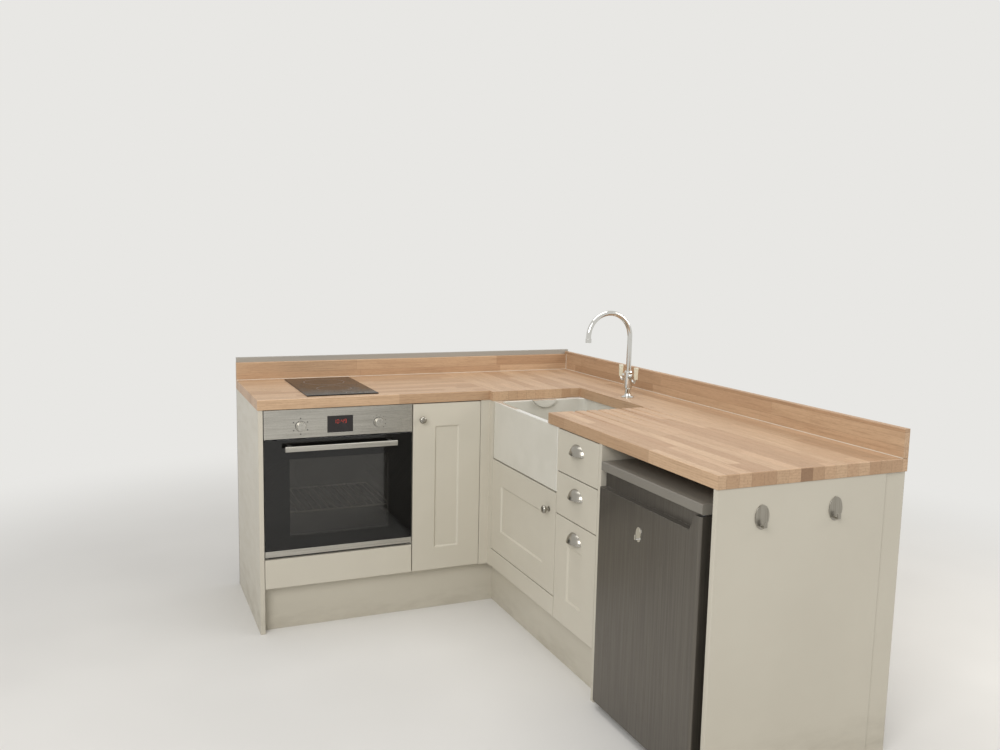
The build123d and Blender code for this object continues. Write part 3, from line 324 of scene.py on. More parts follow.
wood = mix_colour(group, fade(group, tone, 0.1, 0.95, 0.06, 0.88), given["Pale"], given["Deep"])
warmer = mix_colour(group, times(group, tint[2], 0.22), wood, colour(182, 138, 104))
ringed = mix_colour(group, times(group, late_wood, 0.34), warmer, given["Deep"])
streaked = mix_colour(group, fade(group, streak, 0.42, 0.8, 0.0, 0.34), ringed, colour(136, 102, 74))
pored = mix_colour(group, times(group, pores, 0.4), streaked, colour(118, 84, 56))
dullness = plus(group, times(group, pores, 0.16), times(group, streak, 0.14))
hollow = calc(group, "MAXIMUM", times(group, pores, 0.5), seam)
wire(group, gives, Color=mix_colour(group, times(group, seam, 0.5), pored, colour(104, 72, 46)),
     Roughness=plus(group, 0.42, dullness), Height=minus(group, 1.0, hollow))
print("group:", group.name)

# %% [markdown]
# **Paint film.** Sprayed satin paint is almost even, but not quite: it has a fine orange peel, a slow drift
# in tone from hand to hand, and a little grime that gathers low down, where feet and mops reach.

# %% Group: paint film
group, given, gives = new_group(
    "paint film",
    {"Vector": ("Vector", None), "Paint": ("Color", colour(201, 195, 180)),
     "Grime": ("Color", colour(160, 152, 136)), "Grime Top": ("Float", 0.25), "Edge": ("Float", 0.0)},
    {"Color": "Color", "Roughness": "Float", "Height": "Float"})
peel = noise(group, given["Vector"], 480.0, 2.0)
drift = noise(group, given["Vector"], 3.5, 3.0)
scuffs = noise(group, stretched(group, given["Vector"], 9.0, 9.0, 30.0), 1.0, 4.0, 0.6)
height_above_floor = split_vector(group, given["Vector"])[2]
low_down = fade(group, height_above_floor, given["Grime Top"], 0.0)
grime = times(group, low_down, fade(group, scuffs, 0.35, 0.75, 0.05, 0.4))
shifted = mix_colour(group, fade(group, drift, 0.3, 0.7, 0.0, 0.1), given["Paint"], given["Grime"])
dirty = mix_colour(group, grime, shifted, given["Grime"])
# Lighter along the edges: wear, and partly a painted highlight.
wire(group, gives, Color=mix_colour(group, given["Edge"], dirty, colour(224, 219, 206)),
     Roughness=plus(group, fade(group, scuffs, 0.3, 0.8, 0.34, 0.46), times(group, grime, 0.15)),
     Height=peel)
print("group:", group.name)

# %% [markdown]
# **Brushed metal.** Brushing leaves thousands of fine lines one way. Noise that is drawn out sixty times or
# more along the brushing gives them, as a height for the bump and as a change in roughness.

# %% Group: brushed metal
group, given, gives = new_group("brushed lines", {"Vector": ("Vector", None), "Middle": ("Float", 0.3)},
                                {"Streak": "Float", "Roughness": "Float", "Height": "Float"})
fine = noise(group, stretched(group, given["Vector"], 30.0, 2600.0, 2600.0), 1.0, 2.0)
broad = noise(group, stretched(group, given["Vector"], 4.0, 240.0, 240.0), 1.0, 3.0)
wire(group, gives, Streak=broad, Height=fine,
     Roughness=plus(group, given["Middle"], times(group, minus(group, fine, 0.5), 0.25)))
print("group:", group.name)

# %% [markdown]
# **Smudges.** Hands leave soft smears on anything that shines. They hardly show as colour, only as patches
# where the gloss is duller.

# %% Group: smudges
group, given, gives = new_group(
    "smudges", {"Vector": ("Vector", None), "Clean": ("Float", 0.05), "Smeared": ("Float", 0.2)},
    {"Mask": "Float", "Roughness": "Float"})
smear = noise(group, stretched(group, given["Vector"], 14.0, 14.0, 9.0), 1.0, 4.0, 0.6)
prints = noise(group, given["Vector"], 90.0, 2.0)
mask = times(group, fade(group, smear, 0.48, 0.72), fade(group, prints, 0.25, 0.75, 0.4, 1.0))
wire(group, gives, Mask=mask, Roughness=fade(group, mask, 0.0, 1.0, given["Clean"], given["Smeared"]))
print("group:", group.name)

# %% [markdown]
# **Speckle.** Moulded plastic and laminated board have a fine even grain, and faint specks of another tone.

# %% Group: speckle
group, given, gives = new_group(
    "speckle",
    {"Vector": ("Vector", None), "Base": ("Color", colour(230, 230, 226)),
     "Fleck": ("Color", colour(200, 200, 196)), "Scale": ("Float", 900.0)},
    {"Color": "Color", "Roughness": "Float", "Height": "Float"})
grit = noise(group, given["Vector"], given["Scale"], 2.0)
cloud = noise(group, given["Vector"], 6.0, 3.0)
flecked = mix_colour(group, fade(group, grit, 0.55, 0.75, 0.0, 0.5), given["Base"], given["Fleck"])
clouded = mix_colour(group, fade(group, cloud, 0.35, 0.75, 0.0, 0.25), flecked, given["Fleck"])
wire(group, gives, Color=clouded, Roughness=fade(group, grit, 0.2, 0.8, 0.38, 0.52), Height=grit)
print("group:", group.name)

# %% [markdown]
# ## Finishes
#
# **Oiled stave block** covers the two worktops and their upstands. The four boards run different ways, so
# each gets its own material with the axes put in order: along the staves, across them, and through the
# thickness. A thin coat stands for the oil.

# %% Timber for four boards
pore_depth = 0.00012


def block_timber(name, order, board, stave_width, stave_length):
    """Oiled stave block whose staves run along the first axis of the order."""
    material, tree, shader, place_in_piece = new_material(name, Coat_Weight=0.15, Coat_Roughness=0.3)
    vector = reordered(tree, place_in_piece, order)
    staves = place(tree, "stave block", Vector=vector, Board=board, Stave_Width=stave_width,
                   Stave_Length=stave_length)
    edges = place(tree, "rounded edge", Radius=0.002, Wear=0.35)
    # Paler along the edges: wear, and partly a painted highlight.
    worn_and_lit = mix_colour(tree, edges["Edge"], staves["Color"], colour(203, 173, 140))
    wire(tree, shader, Base_Color=worn_and_lit, Roughness=staves["Roughness"],
         Normal=relief(tree, staves["Height"], pore_depth, edges["Normal"]))
    return material


dress(block_timber("timber_peninsula_top", "xyz", 1.0, 0.042, 0.62), "peninsula_worktop")
dress(block_timber("timber_wall_top", "yxz", 2.0, 0.042, 0.55), "wall_worktop")
dress(block_timber("timber_peninsula_upstand", "xzy", 3.0, 0.046, 0.7), "peninsula_upstand")
dress(block_timber("timber_wall_upstand", "yzx", 4.0, 0.044, 0.7), "wall_upstand")
print("four timber boards dressed")

# %% [markdown]
# **Satin paint** covers the fronts, posts and end panels. The plinths have it too, with grime that starts
# lower, and the back panel of the peninsula is greyer, as its top edge shows above the timber.

# %% Paint for fronts and panels
peel_depth = 0.00004


def satin_paint(name, paint, grime_top):
    """Sprayed satin paint on board."""
    material, tree, shader, place_in_piece = new_material(name, Specular_IOR_Level=0.5)
    edges = place(tree, "rounded edge", Radius=0.0018, Wear=0.45)
    film = place(tree, "paint film", Vector=place_in_piece, Paint=paint, Grime_Top=grime_top,
                 Edge=edges["Edge"])
    wire(tree, shader, Base_Color=film["Color"], Roughness=film["Roughness"],
         Normal=relief(tree, film["Height"], peel_depth, edges["Normal"]))
    return material


front_paint = satin_paint("paint_fronts", colour(201, 195, 180), 0.2)
panel_paint = satin_paint("paint_panels", colour(199, 193, 178), 0.22)
plinth_paint = satin_paint("paint_plinths", colour(195, 189, 174), 0.12)
grey_paint = satin_paint("paint_back_panel", colour(160, 156, 148), 0.2)
dress(front_paint, "corner_post", "oven_filler_panel", "sink_rail", "narrow_door", "sink_door",
      "drawer_front_1", "drawer_front_2", "drawer_front_3")
dress(panel_paint, "left_end_panel", "right_end_panel", "end_filler_strip", "fridge_side_panel")
dress(plinth_paint, "peninsula_plinth", "wall_plinth")
dress(grey_paint, "peninsula_back_panel")
print("painted pieces dressed")

# %% [markdown]
# **Faced board** is the white melamine of the carcases and drawer boxes, and **moulded plastic** the legs.
# Both are the speckle group with different tones and grain size.

# %% Board and plastic
def speckled(name, base, fleck, scale, depth, **plain):
    """Laminated board or moulded plastic."""
    material, tree, shader, place_in_piece = new_material(name, **plain)
    grain = place(tree, "speckle", Vector=place_in_piece, Base=base, Fleck=fleck, Scale=scale)
    edges = place(tree, "rounded edge", Radius=0.0008, Wear=0.0)
    wire(tree, shader, Base_Color=grain["Color"], Roughness=grain["Roughness"],
         Normal=relief(tree, grain["Height"], depth, edges["Normal"]))
    return material


white_board = speckled("faced_board", colour(228, 227, 222), colour(205, 203, 196), 700.0, 0.00002)
black_plastic = speckled("leg_plastic", colour(38, 38, 40), colour(62, 62, 64), 1200.0, 0.00005)
white_plastic = speckled("white_plastic", colour(226, 226, 222), colour(206, 207, 203), 1500.0, 0.00003)
dress(white_board, "oven_carcase", "narrow_carcase", "sink_carcase", "drawer_carcase",
      "drawer_box_1", "drawer_box_2", "drawer_box_3")
dress(black_plastic, "cabinet_legs")
print("boards and plastic dressed")

# %% [markdown]
# ** Glazed fireclay.** The sink has a thick glaze over clay: a clear coat on a warm off-white body. The
# glaze is slightly wavy, and a touch creamier where it pools. The rim and other edges are made lighter, a
# painted highlight.

# %% Fireclay
fireclay, tree, shader, place_in_piece = new_material("fireclay", Coat_Weight=1.0, Coat_Roughness=0.04)
waves = noise(tree, place_in_piece, 22.0, 2.0)
pooled = noise(tree, place_in_piece, 7.0, 3.0)
edges = place(tree, "rounded edge", Radius=0.004, Wear=0.3)
glaze = mix_colour(tree, fade(tree, pooled, 0.35, 0.75), colour(211, 208, 198), colour(205, 202, 191))
# Lighter rim and edges: a painted highlight.
wire(tree, shader, Base_Color=mix_colour(tree, edges["Edge"], glaze, colour(228, 226, 217)),
     Roughness=fade(tree, pooled, 0.3, 0.8, 0.14, 0.2), Normal=relief(tree, waves, 0.0003, edges["Normal"]))
dress(fireclay, "ceramic_sink")
print("sink dressed")

# %% [markdown]
# ** Metals.** Chrome is a mirror with smudges. The oven's steel and the hooks are brushed along their
# length, and the hidden fittings are dull zinc. All are metallic, and only their roughness and their lines
# differ. Their edges are made lighter, a painted highlight.

# %% Chrome and zinc
chrome_tone, chrome_edge_glint = colour(214, 213, 209), colour(250, 250, 250)


def smudged(tree, place_in_piece, clean, smeared, base, smear_tone, share):
    """The roughness of a smudged surface, and its base colour under the smudges."""
    marks = place(tree, "smudges", Vector=place_in_piece, Clean=clean, Smeared=smeared)
    return marks["Roughness"], mix_colour(tree, times(tree, marks["Mask"], share), base, smear_tone)


def polished(name, base, clean, smeared):
    """Bright metal with smudges."""
    material, tree, shader, place_in_piece = new_material(name, Metallic=1.0)
    edges = place(tree, "rounded edge", Radius=0.0006, Wear=0.4)
    # Edges turned near white: a painted glint.
    bright = mix_colour(tree, edges["Edge"], base, chrome_edge_glint)
    gloss, tone = smudged(tree, place_in_piece, clean, smeared, bright, colour(196, 194, 188), 0.2)
    wire(tree, shader, Base_Color=tone, Roughness=gloss, Normal=edges["Normal"])
    return material


chrome = polished("bright_chrome", chrome_tone, 0.08, 0.2)
aged_chrome = polished("aged_chrome", colour(160, 156, 147), 0.24, 0.36)
zinc = polished("zinc_steel", colour(186, 188, 192), 0.26, 0.42)
shelf_wire = polished("shelf_wire", colour(222, 220, 214), 0.3, 0.4)
dress(chrome, "sink_waste", "tap_body", "tap_spout", "fridge_door_hook")
dress(aged_chrome, "narrow_door_knob", "sink_door_knob", "cup_handle_1", "cup_handle_2", "cup_handle_3")
dress(shelf_wire, "oven_shelf")
dress(zinc, "narrow_door_hinges", "sink_door_hinges", "drawer_runners", "fridge_hinges")
print("chrome and zinc dressed")

# %% [markdown]
# Each tap lever is chrome up to a collar, and its grip above is cream porcelain. The grip is part of the
# same node, so the material asks how high and how far out the surface lies, and turns from metal to glaze
# there.

# %% Levers with porcelain grips
grip_bottom = 1.0162
grip_reach = 0.045
levers, tree, shader, place_in_piece = new_material("lever_chrome_and_porcelain")
parts = split_vector(tree, place_in_piece)
out_from_tap = calc(tree, "ABSOLUTE", minus(tree, parts[1], halfway(*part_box("tap_body")).y))
grip = times(tree, fade(tree, parts[2], grip_bottom, grip_bottom + 0.0003),
             fade(tree, out_from_tap, grip_reach - 0.001, grip_reach))
marks = place(tree, "smudges", Vector=place_in_piece, Clean=0.08, Smeared=0.2)
edges = place(tree, "rounded edge", Radius=0.0006, Wear=0.3)
cream = mottled(tree, place_in_piece, 60.0, colour(226, 220, 198), colour(216, 209, 186))
# Chrome edges near white: a painted glint.
metal = mix_colour(tree, edges["Edge"], chrome_tone, chrome_edge_glint)
wire(tree, shader, Base_Color=mix_colour(tree, grip, metal, cream), Metallic=minus(tree, 1.0, grip),
     Roughness=marks["Roughness"], Normal=edges["Normal"])
dress(levers, "tap_lever_left", "tap_lever_right")
print("levers dressed, grips from", grip_bottom, "m up")

# %% [markdown]
# The oven's fascia, trim and handle are brushed from side to side, and the hooks from top to bottom. The
# fridge's door has the look of brushed metal under a thin coat. One function makes all three from the
# lines, the smudges and the rounded edge.

# %% Brushed steel
line_depth = 0.00002


def brushed(name, base, darker, middle, order="xyz", **plain):
    """Metal brushed along the first axis of the order."""
    material, tree, shader, place_in_piece = new_material(name, **plain)
    lines = place(tree, "brushed lines", Vector=reordered(tree, place_in_piece, order), Middle=middle)
    marks = place(tree, "smudges", Vector=place_in_piece, Clean=0.0, Smeared=0.1)
    edges = place(tree, "rounded edge", Radius=0.001, Wear=0.5)
    toned = mix_colour(tree, fade(tree, lines["Streak"], 0.3, 0.7), base, darker)
    # Lighter along the edges: a painted highlight.
    wire(tree, shader, Base_Color=mix_colour(tree, edges["Edge"], toned, colour(226, 224, 218)),
         Roughness=plus(tree, lines["Roughness"], marks["Roughness"]),
         Normal=relief(tree, lines["Height"], line_depth, edges["Normal"]))
    return material


satin_steel = brushed("satin_steel", colour(194, 191, 183), colour(176, 173, 165), 0.3, Metallic=1.0,
                      Anisotropic=0.5)
hook_steel = brushed("hook_steel", colour(168, 163, 152), colour(146, 141, 131), 0.38, "zyx", Metallic=1.0)
fridge_skin = brushed("fridge_finish", colour(108, 103, 95), colour(97, 92, 85), 0.36, "zyx", Metallic=0.8,
                      Coat_Weight=0.3, Coat_Roughness=0.2)
dress(satin_steel, "oven_fascia", "oven_door_trim", "oven_door_handle")
dress(hook_steel, "end_panel_hooks")
dress(fridge_skin, "fridge_door")
print("brushed pieces dressed")

# %% [markdown]
# **Black glass** faces the oven door, the clock and the hob. The hob and clock are opaque and glossy. The
# oven door's glass is smoked, so that the window shows a hint of the shelf behind it. A renderer treats
# glass as a wall to the lamps' light, so for shadow rays, and for nothing else, the pane turns to plain
# tinted film.

# %% Black glass
def gloss_black(name, base, clean, smeared, specular):
    """Opaque black glass with smudges."""
    material, tree, shader, place_in_piece = new_material(name, Specular_IOR_Level=specular)
    edges = place(tree, "rounded edge", Radius=0.0008, Wear=0.2)
    gloss, tone = smudged(tree, place_in_piece, clean, smeared, base, colour(70, 70, 70), 0.25)
    wire(tree, shader, Base_Color=tone, Roughness=gloss, Normal=edges["Normal"])
    return material


def see_through(name, tint, film, clean, smeared):
    """Tinted clear glass with smudges, which lamps light through as through a film."""
    material, tree, shader, place_in_piece = new_material(name, Transmission_Weight=1.0, IOR=1.5)
    gloss, tone = smudged(tree, place_in_piece, clean, smeared, tint, colour(150, 150, 146), 0.2)
    wire(tree, shader, Base_Color=tone, Roughness=gloss)
    passing = add_node(tree, "BsdfTransparent", {"Color": film}).outputs[0]
    for_shadow = add_node(tree, "LightPath", {}).outputs["Is Shadow Ray"]
    glass = tree.nodes["Principled BSDF"].outputs[0]
    pane = add_node(tree, "MixShader", {0: for_shadow, 1: glass, 2: passing})
    feed(tree, tree.nodes["Material Output"].inputs["Surface"], pane.outputs[0])
    return material


dress(gloss_black("hob_glass", colour(28, 25, 23), 0.1, 0.24, 0.15), "hob")
dress(gloss_black("clock_glass", colour(26, 20, 20), 0.05, 0.16, 0.5), "oven_clock")
dress(see_through("door_glass", colour(180, 178, 173), colour(226, 225, 221), 0.02, 0.1), "oven_door_glass")
dress(see_through("shelf_glass", colour(238, 245, 242), colour(246, 250, 248), 0.02, 0.12), "fridge_shelves")
print("glass dressed")

# %% [markdown]
# **Enamel.** The oven's inside is speckled grey enamel, and the frame behind its glass is printed black.
# Both are the speckle group again, under a thin glossy coat.

# %% Oven enamel and print
enamel = speckled("dark_enamel", colour(66, 67, 71), colour(102, 104, 109), 420.0, 0.00002, Coat_Weight=0.5,
                  Coat_Roughness=0.12)
black_print = speckled("black_print", colour(30, 29, 29), colour(42, 41, 41), 900.0, 0.00001, Coat_Weight=0.3,
                       Coat_Roughness=0.1)
dress(enamel, "oven_body")
dress(black_print, "oven_door_frame")
print("oven inside and door frame dressed")

# %% [markdown]
# **The fridge case** is grey outside and white inside, in one node, so its material picks the tone by where
# the surface lies. The bay cut out at the bottom of its back counts as outside.

# %% Fridge case
case_low, case_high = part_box("fridge_cabinet")
lining_gap = 0.036
step_width = 0.0005
lining_floor = case_low.z + 0.108
bay_front, bay_roof = 0.525, 0.209
fridge_case, tree, shader, place_in_piece = new_material("fridge_case", Coat_Weight=0.2, Coat_Roughness=0.3)
parts = split_vector(tree, place_in_piece)


def lower_than(value, limit):
    """1 where a value is under a limit, and 0 just above it."""
    return fade(tree, value, limit + step_width, limit)


half_width = (case_high.y - case_low.y) / 2
from_middle = calc(tree, "ABSOLUTE", minus(tree, parts[1], (case_low.y + case_high.y) / 2))
inside_y = lower_than(from_middle, half_width - lining_gap)
inside_z = lower_than(parts[2], case_high.z - lining_gap)
inside_x = lower_than(parts[0], case_high.x - lining_gap)
above_floor = fade(tree, parts[2], lining_floor, lining_floor + step_width)
bay = times(tree, fade(tree, parts[0], bay_front - step_width, bay_front),
            lower_than(parts[2], bay_roof))
lining = times(tree, times(tree, inside_y, inside_z),
               times(tree, times(tree, inside_x, above_floor), minus(tree, 1.0, bay)))
outer = place(tree, "speckle", Vector=place_in_piece, Base=colour(124, 119, 110), Fleck=colour(110, 106, 98),
              Scale=800.0)
inner = place(tree, "speckle", Vector=place_in_piece, Base=colour(234, 235, 232), Fleck=colour(220, 222, 218),
              Scale=600.0)
edges = place(tree, "rounded edge", Radius=0.002, Wear=0.1)
wire(tree, shader, Base_Color=mix_colour(tree, lining, outer["Color"], inner["Color"]),
     Roughness=outer["Roughness"], Normal=relief(tree, outer["Height"], 0.00004, edges["Normal"]))
dress(fridge_case, "fridge_cabinet", "fridge_top")
dress(white_plastic, "fridge_door_liner")
print("fridge case and door liner dressed")

# %% [markdown]
# ## Thin trim
#
# Printed marks, the clock's digits, seals and screws are too fine for the model. They are meshes all the
# same. Four helpers make them: a slab between two corners, a turned piece from a profile, a flat ring, and
# a swept tube.

# %% Mesh helpers
sharp_angle = math.radians(35)


def finish_piece(name, mesh_work, body, material):
    """Turn mesh work into an object that rides on a body."""
    bmesh.ops.recalc_face_normals(mesh_work, faces=mesh_work.faces)
    mesh = bpy.data.meshes.new(name)
    mesh_work.to_mesh(mesh)
    mesh_work.free()
    mesh.materials.append(material)
    for face in mesh.polygons:
        face.use_smooth = True
    mesh.set_sharp_from_angle(angle=sharp_angle)
    piece = bpy.data.objects.new(name, mesh)
    scene.collection.objects.link(piece)
    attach(piece, body)


def add_slab(work, low, high):
    """Add a straight slab between two corners."""
    made = bmesh.ops.create_cube(work, size=1.0)["verts"]
    for vert in made:
        for axis in range(3):
            vert.co[axis] = high[axis] if vert.co[axis] > 0 else low[axis]


def around_circle(radius, sides):
    """Points round a circle that lies flat."""
    angles = [2 * math.pi * step / sides for step in range(sides)]
    return [Vector((radius * math.cos(angle), radius * math.sin(angle), 0)) for angle in angles]


def add_turned(work, profile, centre, direction, sides):
    """Add a turned form: profile holds (radius, height) pairs, heights run along the direction."""
    turn = Vector(direction).to_track_quat("Z", "Y")
    rings = []
    for radius, height in profile:
        if radius == 0:
            rings.append([work.verts.new(Vector(centre) + turn @ Vector((0, 0, height)))])
            continue
        rings.append([work.verts.new(Vector(centre) + turn @ (spot + Vector((0, 0, height))))
                      for spot in around_circle(radius, sides)])
    for lower, upper in zip(rings, rings[1:]):
        for step in range(sides):
            after = (step + 1) % sides
            corners = [lower[step % len(lower)], lower[after % len(lower)],
                       upper[after % len(upper)], upper[step % len(upper)]]
            work.faces.new(list(dict.fromkeys(corners)))


def add_ring(work, inner, outer, thick, centre, direction, sides):
    """Add a flat ring."""
    profile = [(inner, 0), (outer, 0), (outer, thick), (inner, thick), (inner, 0)]
    add_turned(work, profile, centre, direction, sides)


def add_tube(work, points, radius, sides, closed=False):
    """Add a round tube along points, with flat ends unless it is closed."""
    points = [Vector(point) for point in points]
    count = len(points)
    rings = []
    for index, point in enumerate(points):
        before = points[index - 1] if closed or index else point
        after = points[(index + 1) % count] if closed or index < count - 1 else point
        turn = (after - before).to_track_quat("Z", "Y")
        rings.append([work.verts.new(point + turn @ spot) for spot in around_circle(radius, sides)])
    pairs = list(zip(rings, rings[1:])) + ([(rings[-1], rings[0])] if closed else [])
    for first, second in pairs:
        for step in range(sides):
            after = (step + 1) % sides
            work.faces.new((first[step], first[after], second[after], second[step]))
    if not closed:
        work.faces.new(rings[0][::-1])
        work.faces.new(rings[-1])


print("mesh helpers ready")

# %% [markdown]
# **Marks on the fascia.** The left knob picks what the oven does, with a ring of small marks, and the right
# one sets the heat, with dots that grow. They are printed ink, so each is a sliver 0.15 mm thick.

# %% Fascia marks
def printed(name, roughness, scale, first, second):
    """Printed ink in two close tones."""
    material, tree, shader, place_in_piece = new_material(name, Roughness=roughness)
    feed(tree, shader["Base Color"], mottled(tree, place_in_piece, scale, first, second))
    return material


ink = printed("printed_ink", 0.5, 900.0, colour(38, 37, 37), colour(54, 53, 52))
fascia_low, fascia_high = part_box("oven_fascia")
ink_lift = 0.00015
mark_ring = 0.029


def knob_middle(name):
    """The middle of a knob, on the fascia's face."""
    middle = halfway(*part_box(name))
    return Vector((middle.x, fascia_low.y, middle.z))


def add_mark(work, middle, angle, reach, length, width):
    """Add one bar of ink that points at the knob, angle 0 being straight up."""
    out = Vector((math.sin(angle), 0, math.cos(angle)))
    side = Vector((math.cos(angle), 0, -math.sin(angle)))
    near = middle + out * reach
    corners = [near - side * width / 2, near + side * width / 2, near + side * width / 2 + out * length,
               near - side * width / 2 + out * length]
    back = [work.verts.new(corner) for corner in corners]
    front = [work.verts.new(corner + Vector((0, -ink_lift, 0))) for corner in corners]
    work.faces.new(back)
    work.faces.new(front[::-1])
    for step in range(4):
        after = (step + 1) % 4
        work.faces.new((back[step], back[after], front[after], front[step]))


mode_marks = 6
work = bmesh.new()
for step in range(mode_marks):
    angle = 2 * math.pi * step / mode_marks
    add_mark(work, knob_middle("oven_knob_left"), angle, mark_ring, 0.0046, 0.004)
    add_mark(work, knob_middle("oven_knob_left"), angle, mark_ring - 0.003, 0.0016, 0.0009)
finish_piece("mode_marks", work, "kitchen", ink)

heat_marks = 10
work = bmesh.new()
for step in range(heat_marks):
    angle = math.radians(-135 + 270 * step / (heat_marks - 1))
    size = 0.0016 + 0.0024 * step / (heat_marks - 1)
    add_turned(work, [(0, 0), (size / 2, 0), (size / 2, ink_lift), (0, ink_lift)],
               knob_middle("oven_knob_right") + Vector((math.sin(angle), 0, math.cos(angle))) * mark_ring,
               (0, -1, 0), 12)
finish_piece("heat_marks", work, "kitchen", ink)
print(mode_marks, "mode marks and", heat_marks, "heat dots")

# %% [markdown]
# **The clock** shows the time in seven-bar digits that glow a dull red behind its dark window. Each digit
# lists which bars are lit, and a loop draws them.

# %% Clock digits
glow, tree, shader, place_in_piece = new_material("clock_glow", Roughness=0.4, Emission_Strength=0.55)
flicker = fade(tree, noise(tree, place_in_piece, 2500.0), 0.2, 0.8)
wire(tree, shader, Base_Color=mix_colour(tree, flicker, colour(120, 30, 26), colour(150, 40, 32)),
     Emission_Color=mix_colour(tree, flicker, colour(196, 52, 40), colour(226, 74, 52)))
lit_bars = {"0": "abcdef", "1": "bc", "4": "bcfg", "9": "abcdfg"}
digit_high = 0.0145
digit_wide = 0.0075
bar_thick = 0.0013
clock_low, clock_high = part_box("oven_clock")
clock_middle = halfway(clock_low, clock_high)


def digit_bars(digit, left, bottom):
    """The low and high corners of a digit's lit bars, as x and z pairs."""
    half = digit_high / 2
    across = {"a": digit_high, "g": half, "d": 0.0}
    upright = {"f": (0.0, half), "b": (digit_wide, half), "e": (0.0, 0.0), "c": (digit_wide, 0.0)}
    for bar in lit_bars[digit]:
        if bar in across:
            z = bottom + across[bar]
            yield (left + bar_thick, left + digit_wide), (z, z + bar_thick)
        else:
            x, z = upright[bar]
            yield (left + x, left + x + bar_thick), (bottom + z + bar_thick, bottom + z + half)


work = bmesh.new()
digit_step = 0.0125
digits_left = clock_middle.x - 2 * digit_step - 0.001
digits_bottom = clock_middle.z + 0.002
for place_in_row, digit in enumerate("1049"):
    left = digits_left + place_in_row * digit_step + (0.005 if place_in_row > 1 else 0)
    for x, z in digit_bars(digit, left, digits_bottom):
        add_slab(work, (x[0], clock_low.y - ink_lift, z[0]), (x[1], clock_low.y, z[1]))
for dot in (0.3, 0.65):
    middle = digits_left + 2 * digit_step + 0.0005
    z = digits_bottom + digit_high * dot
    add_slab(work, (middle, clock_low.y - ink_lift, z), (middle + bar_thick, clock_low.y, z + bar_thick))
finish_piece("clock_digits", work, "kitchen", glow)
print("clock digits", round(digit_high * 1000, 1), "mm high")

# %% [markdown]
# **The hob** has two printed heating rings and a few touch marks at its front right corner. A ring is a
# turned band with a flat profile.

# %% Hob print
hob_ink = printed("hob_ink", 0.3, 700.0, colour(120, 120, 122), colour(146, 146, 148))
hob_low, hob_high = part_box("hob")
ring_width = 0.0012
touch_radius = 0.006
touch_marks = 4
work = bmesh.new()
for share, radius in ((0.72, 0.085), (0.33, 0.07)):
    middle = (halfway(hob_low, hob_high).x, hob_low.y + (hob_high.y - hob_low.y) * share, hob_high.z)
    add_ring(work, radius, radius + ring_width, ink_lift, middle, (0, 0, 1), 72)
for step in range(touch_marks):
    middle = (hob_high.x - 0.045 - 0.028 * step, hob_low.y + 0.026, hob_high.z)
    add_ring(work, touch_radius, touch_radius + 0.0008, ink_lift, middle, (0, 0, 1), 28)
    add_slab(work, (middle[0] - 0.0025, middle[1] - 0.0004, hob_high.z),
             (middle[0] + 0.0025, middle[1] + 0.0004, hob_high.z + ink_lift))
finish_piece("hob_print", work, "kitchen", hob_ink)
print("two heating rings and", touch_marks, "touch marks")

# %% [markdown]
# **Knob faces.** Turned steel catches light in two opposite fans. Anisotropic shading gives them once the
# tangent runs round the knob: it is the knob's axis crossed with the way out from its middle. Both knobs
# lie the same distance from the oven's middle, so one sum finds the way out for either.

# %% Turned steel for the knobs
left_knob, right_knob = halfway(*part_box("oven_knob_left")), halfway(*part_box("oven_knob_right"))
fascia_middle = (left_knob.x + right_knob.x) / 2
knob_offset = (right_knob.x - left_knob.x) / 2
turned, tree, shader, place_in_piece = new_material("turned_steel", Metallic=1.0, Anisotropic=0.75)
parts = split_vector(tree, place_in_piece)
from_middle = minus(tree, parts[0], fascia_middle)
out_x = times(tree, calc(tree, "SIGN", from_middle),
             minus(tree, calc(tree, "ABSOLUTE", from_middle), knob_offset))
outward = join_vector(tree, out_x, 0.0, minus(tree, parts[2], left_knob.z))
around = add_node(tree, "VectorMath", {0: outward, 1: (0.0, 1.0, 0.0)}, operation="CROSS_PRODUCT").outputs[0]
round_world = add_node(tree, "VectorTransform", {"Vector": around}, vector_type="VECTOR",
                       convert_from="OBJECT", convert_to="WORLD").outputs[0]
tangent = add_node(tree, "VectorMath", {0: round_world}, operation="NORMALIZE").outputs[0]
from_axis = add_node(tree, "VectorMath", {0: outward}, operation="LENGTH").outputs["Value"]
rings = noise(tree, join_vector(tree, times(tree, from_axis, 2400.0), 0.0, 0.0), 1.0, 2.0)
edges = place(tree, "rounded edge", Radius=0.0008, Wear=0.5)
steel = mix_colour(tree, fade(tree, rings, 0.3, 0.7), colour(204, 201, 193), colour(172, 169, 161))
# Lighter along the edges: a painted highlight.
wire(tree, shader, Base_Color=mix_colour(tree, edges["Edge"], steel, colour(232, 230, 226)),
     Roughness=fade(tree, rings, 0.2, 0.8, 0.2, 0.34), Tangent=tangent,
     Normal=relief(tree, rings, 0.00001, edges["Normal"]))
dress(turned, "oven_knob_left", "oven_knob_right")
print("knobs dressed")

# %% [markdown]
# **Fittings behind the doors.** Seals, screws, pads and wires have finishes of their own: dark silicone
# with a bloom of dust, a pale sealant, and the black paint of the fridge's machinery. They reuse the
# speckle group.

# %% Finishes for the small fittings
dark_rubber = speckled("dark_rubber", colour(42, 41, 42), colour(66, 65, 66), 900.0, 0.00004)
pale_sealant = speckled("pale_sealant", colour(214, 208, 194), colour(200, 192, 176), 600.0, 0.00003)
clear_pad = speckled("bumper_pad", colour(206, 206, 200), colour(188, 188, 182), 800.0, 0.00002)
black_paint = speckled("black_paint", colour(34, 34, 35), colour(58, 58, 60), 600.0, 0.00003)
element_metal = speckled("element_metal", colour(74, 70, 68), colour(104, 98, 94), 500.0, 0.00003,
                         Metallic=0.8)
print("five more finishes")
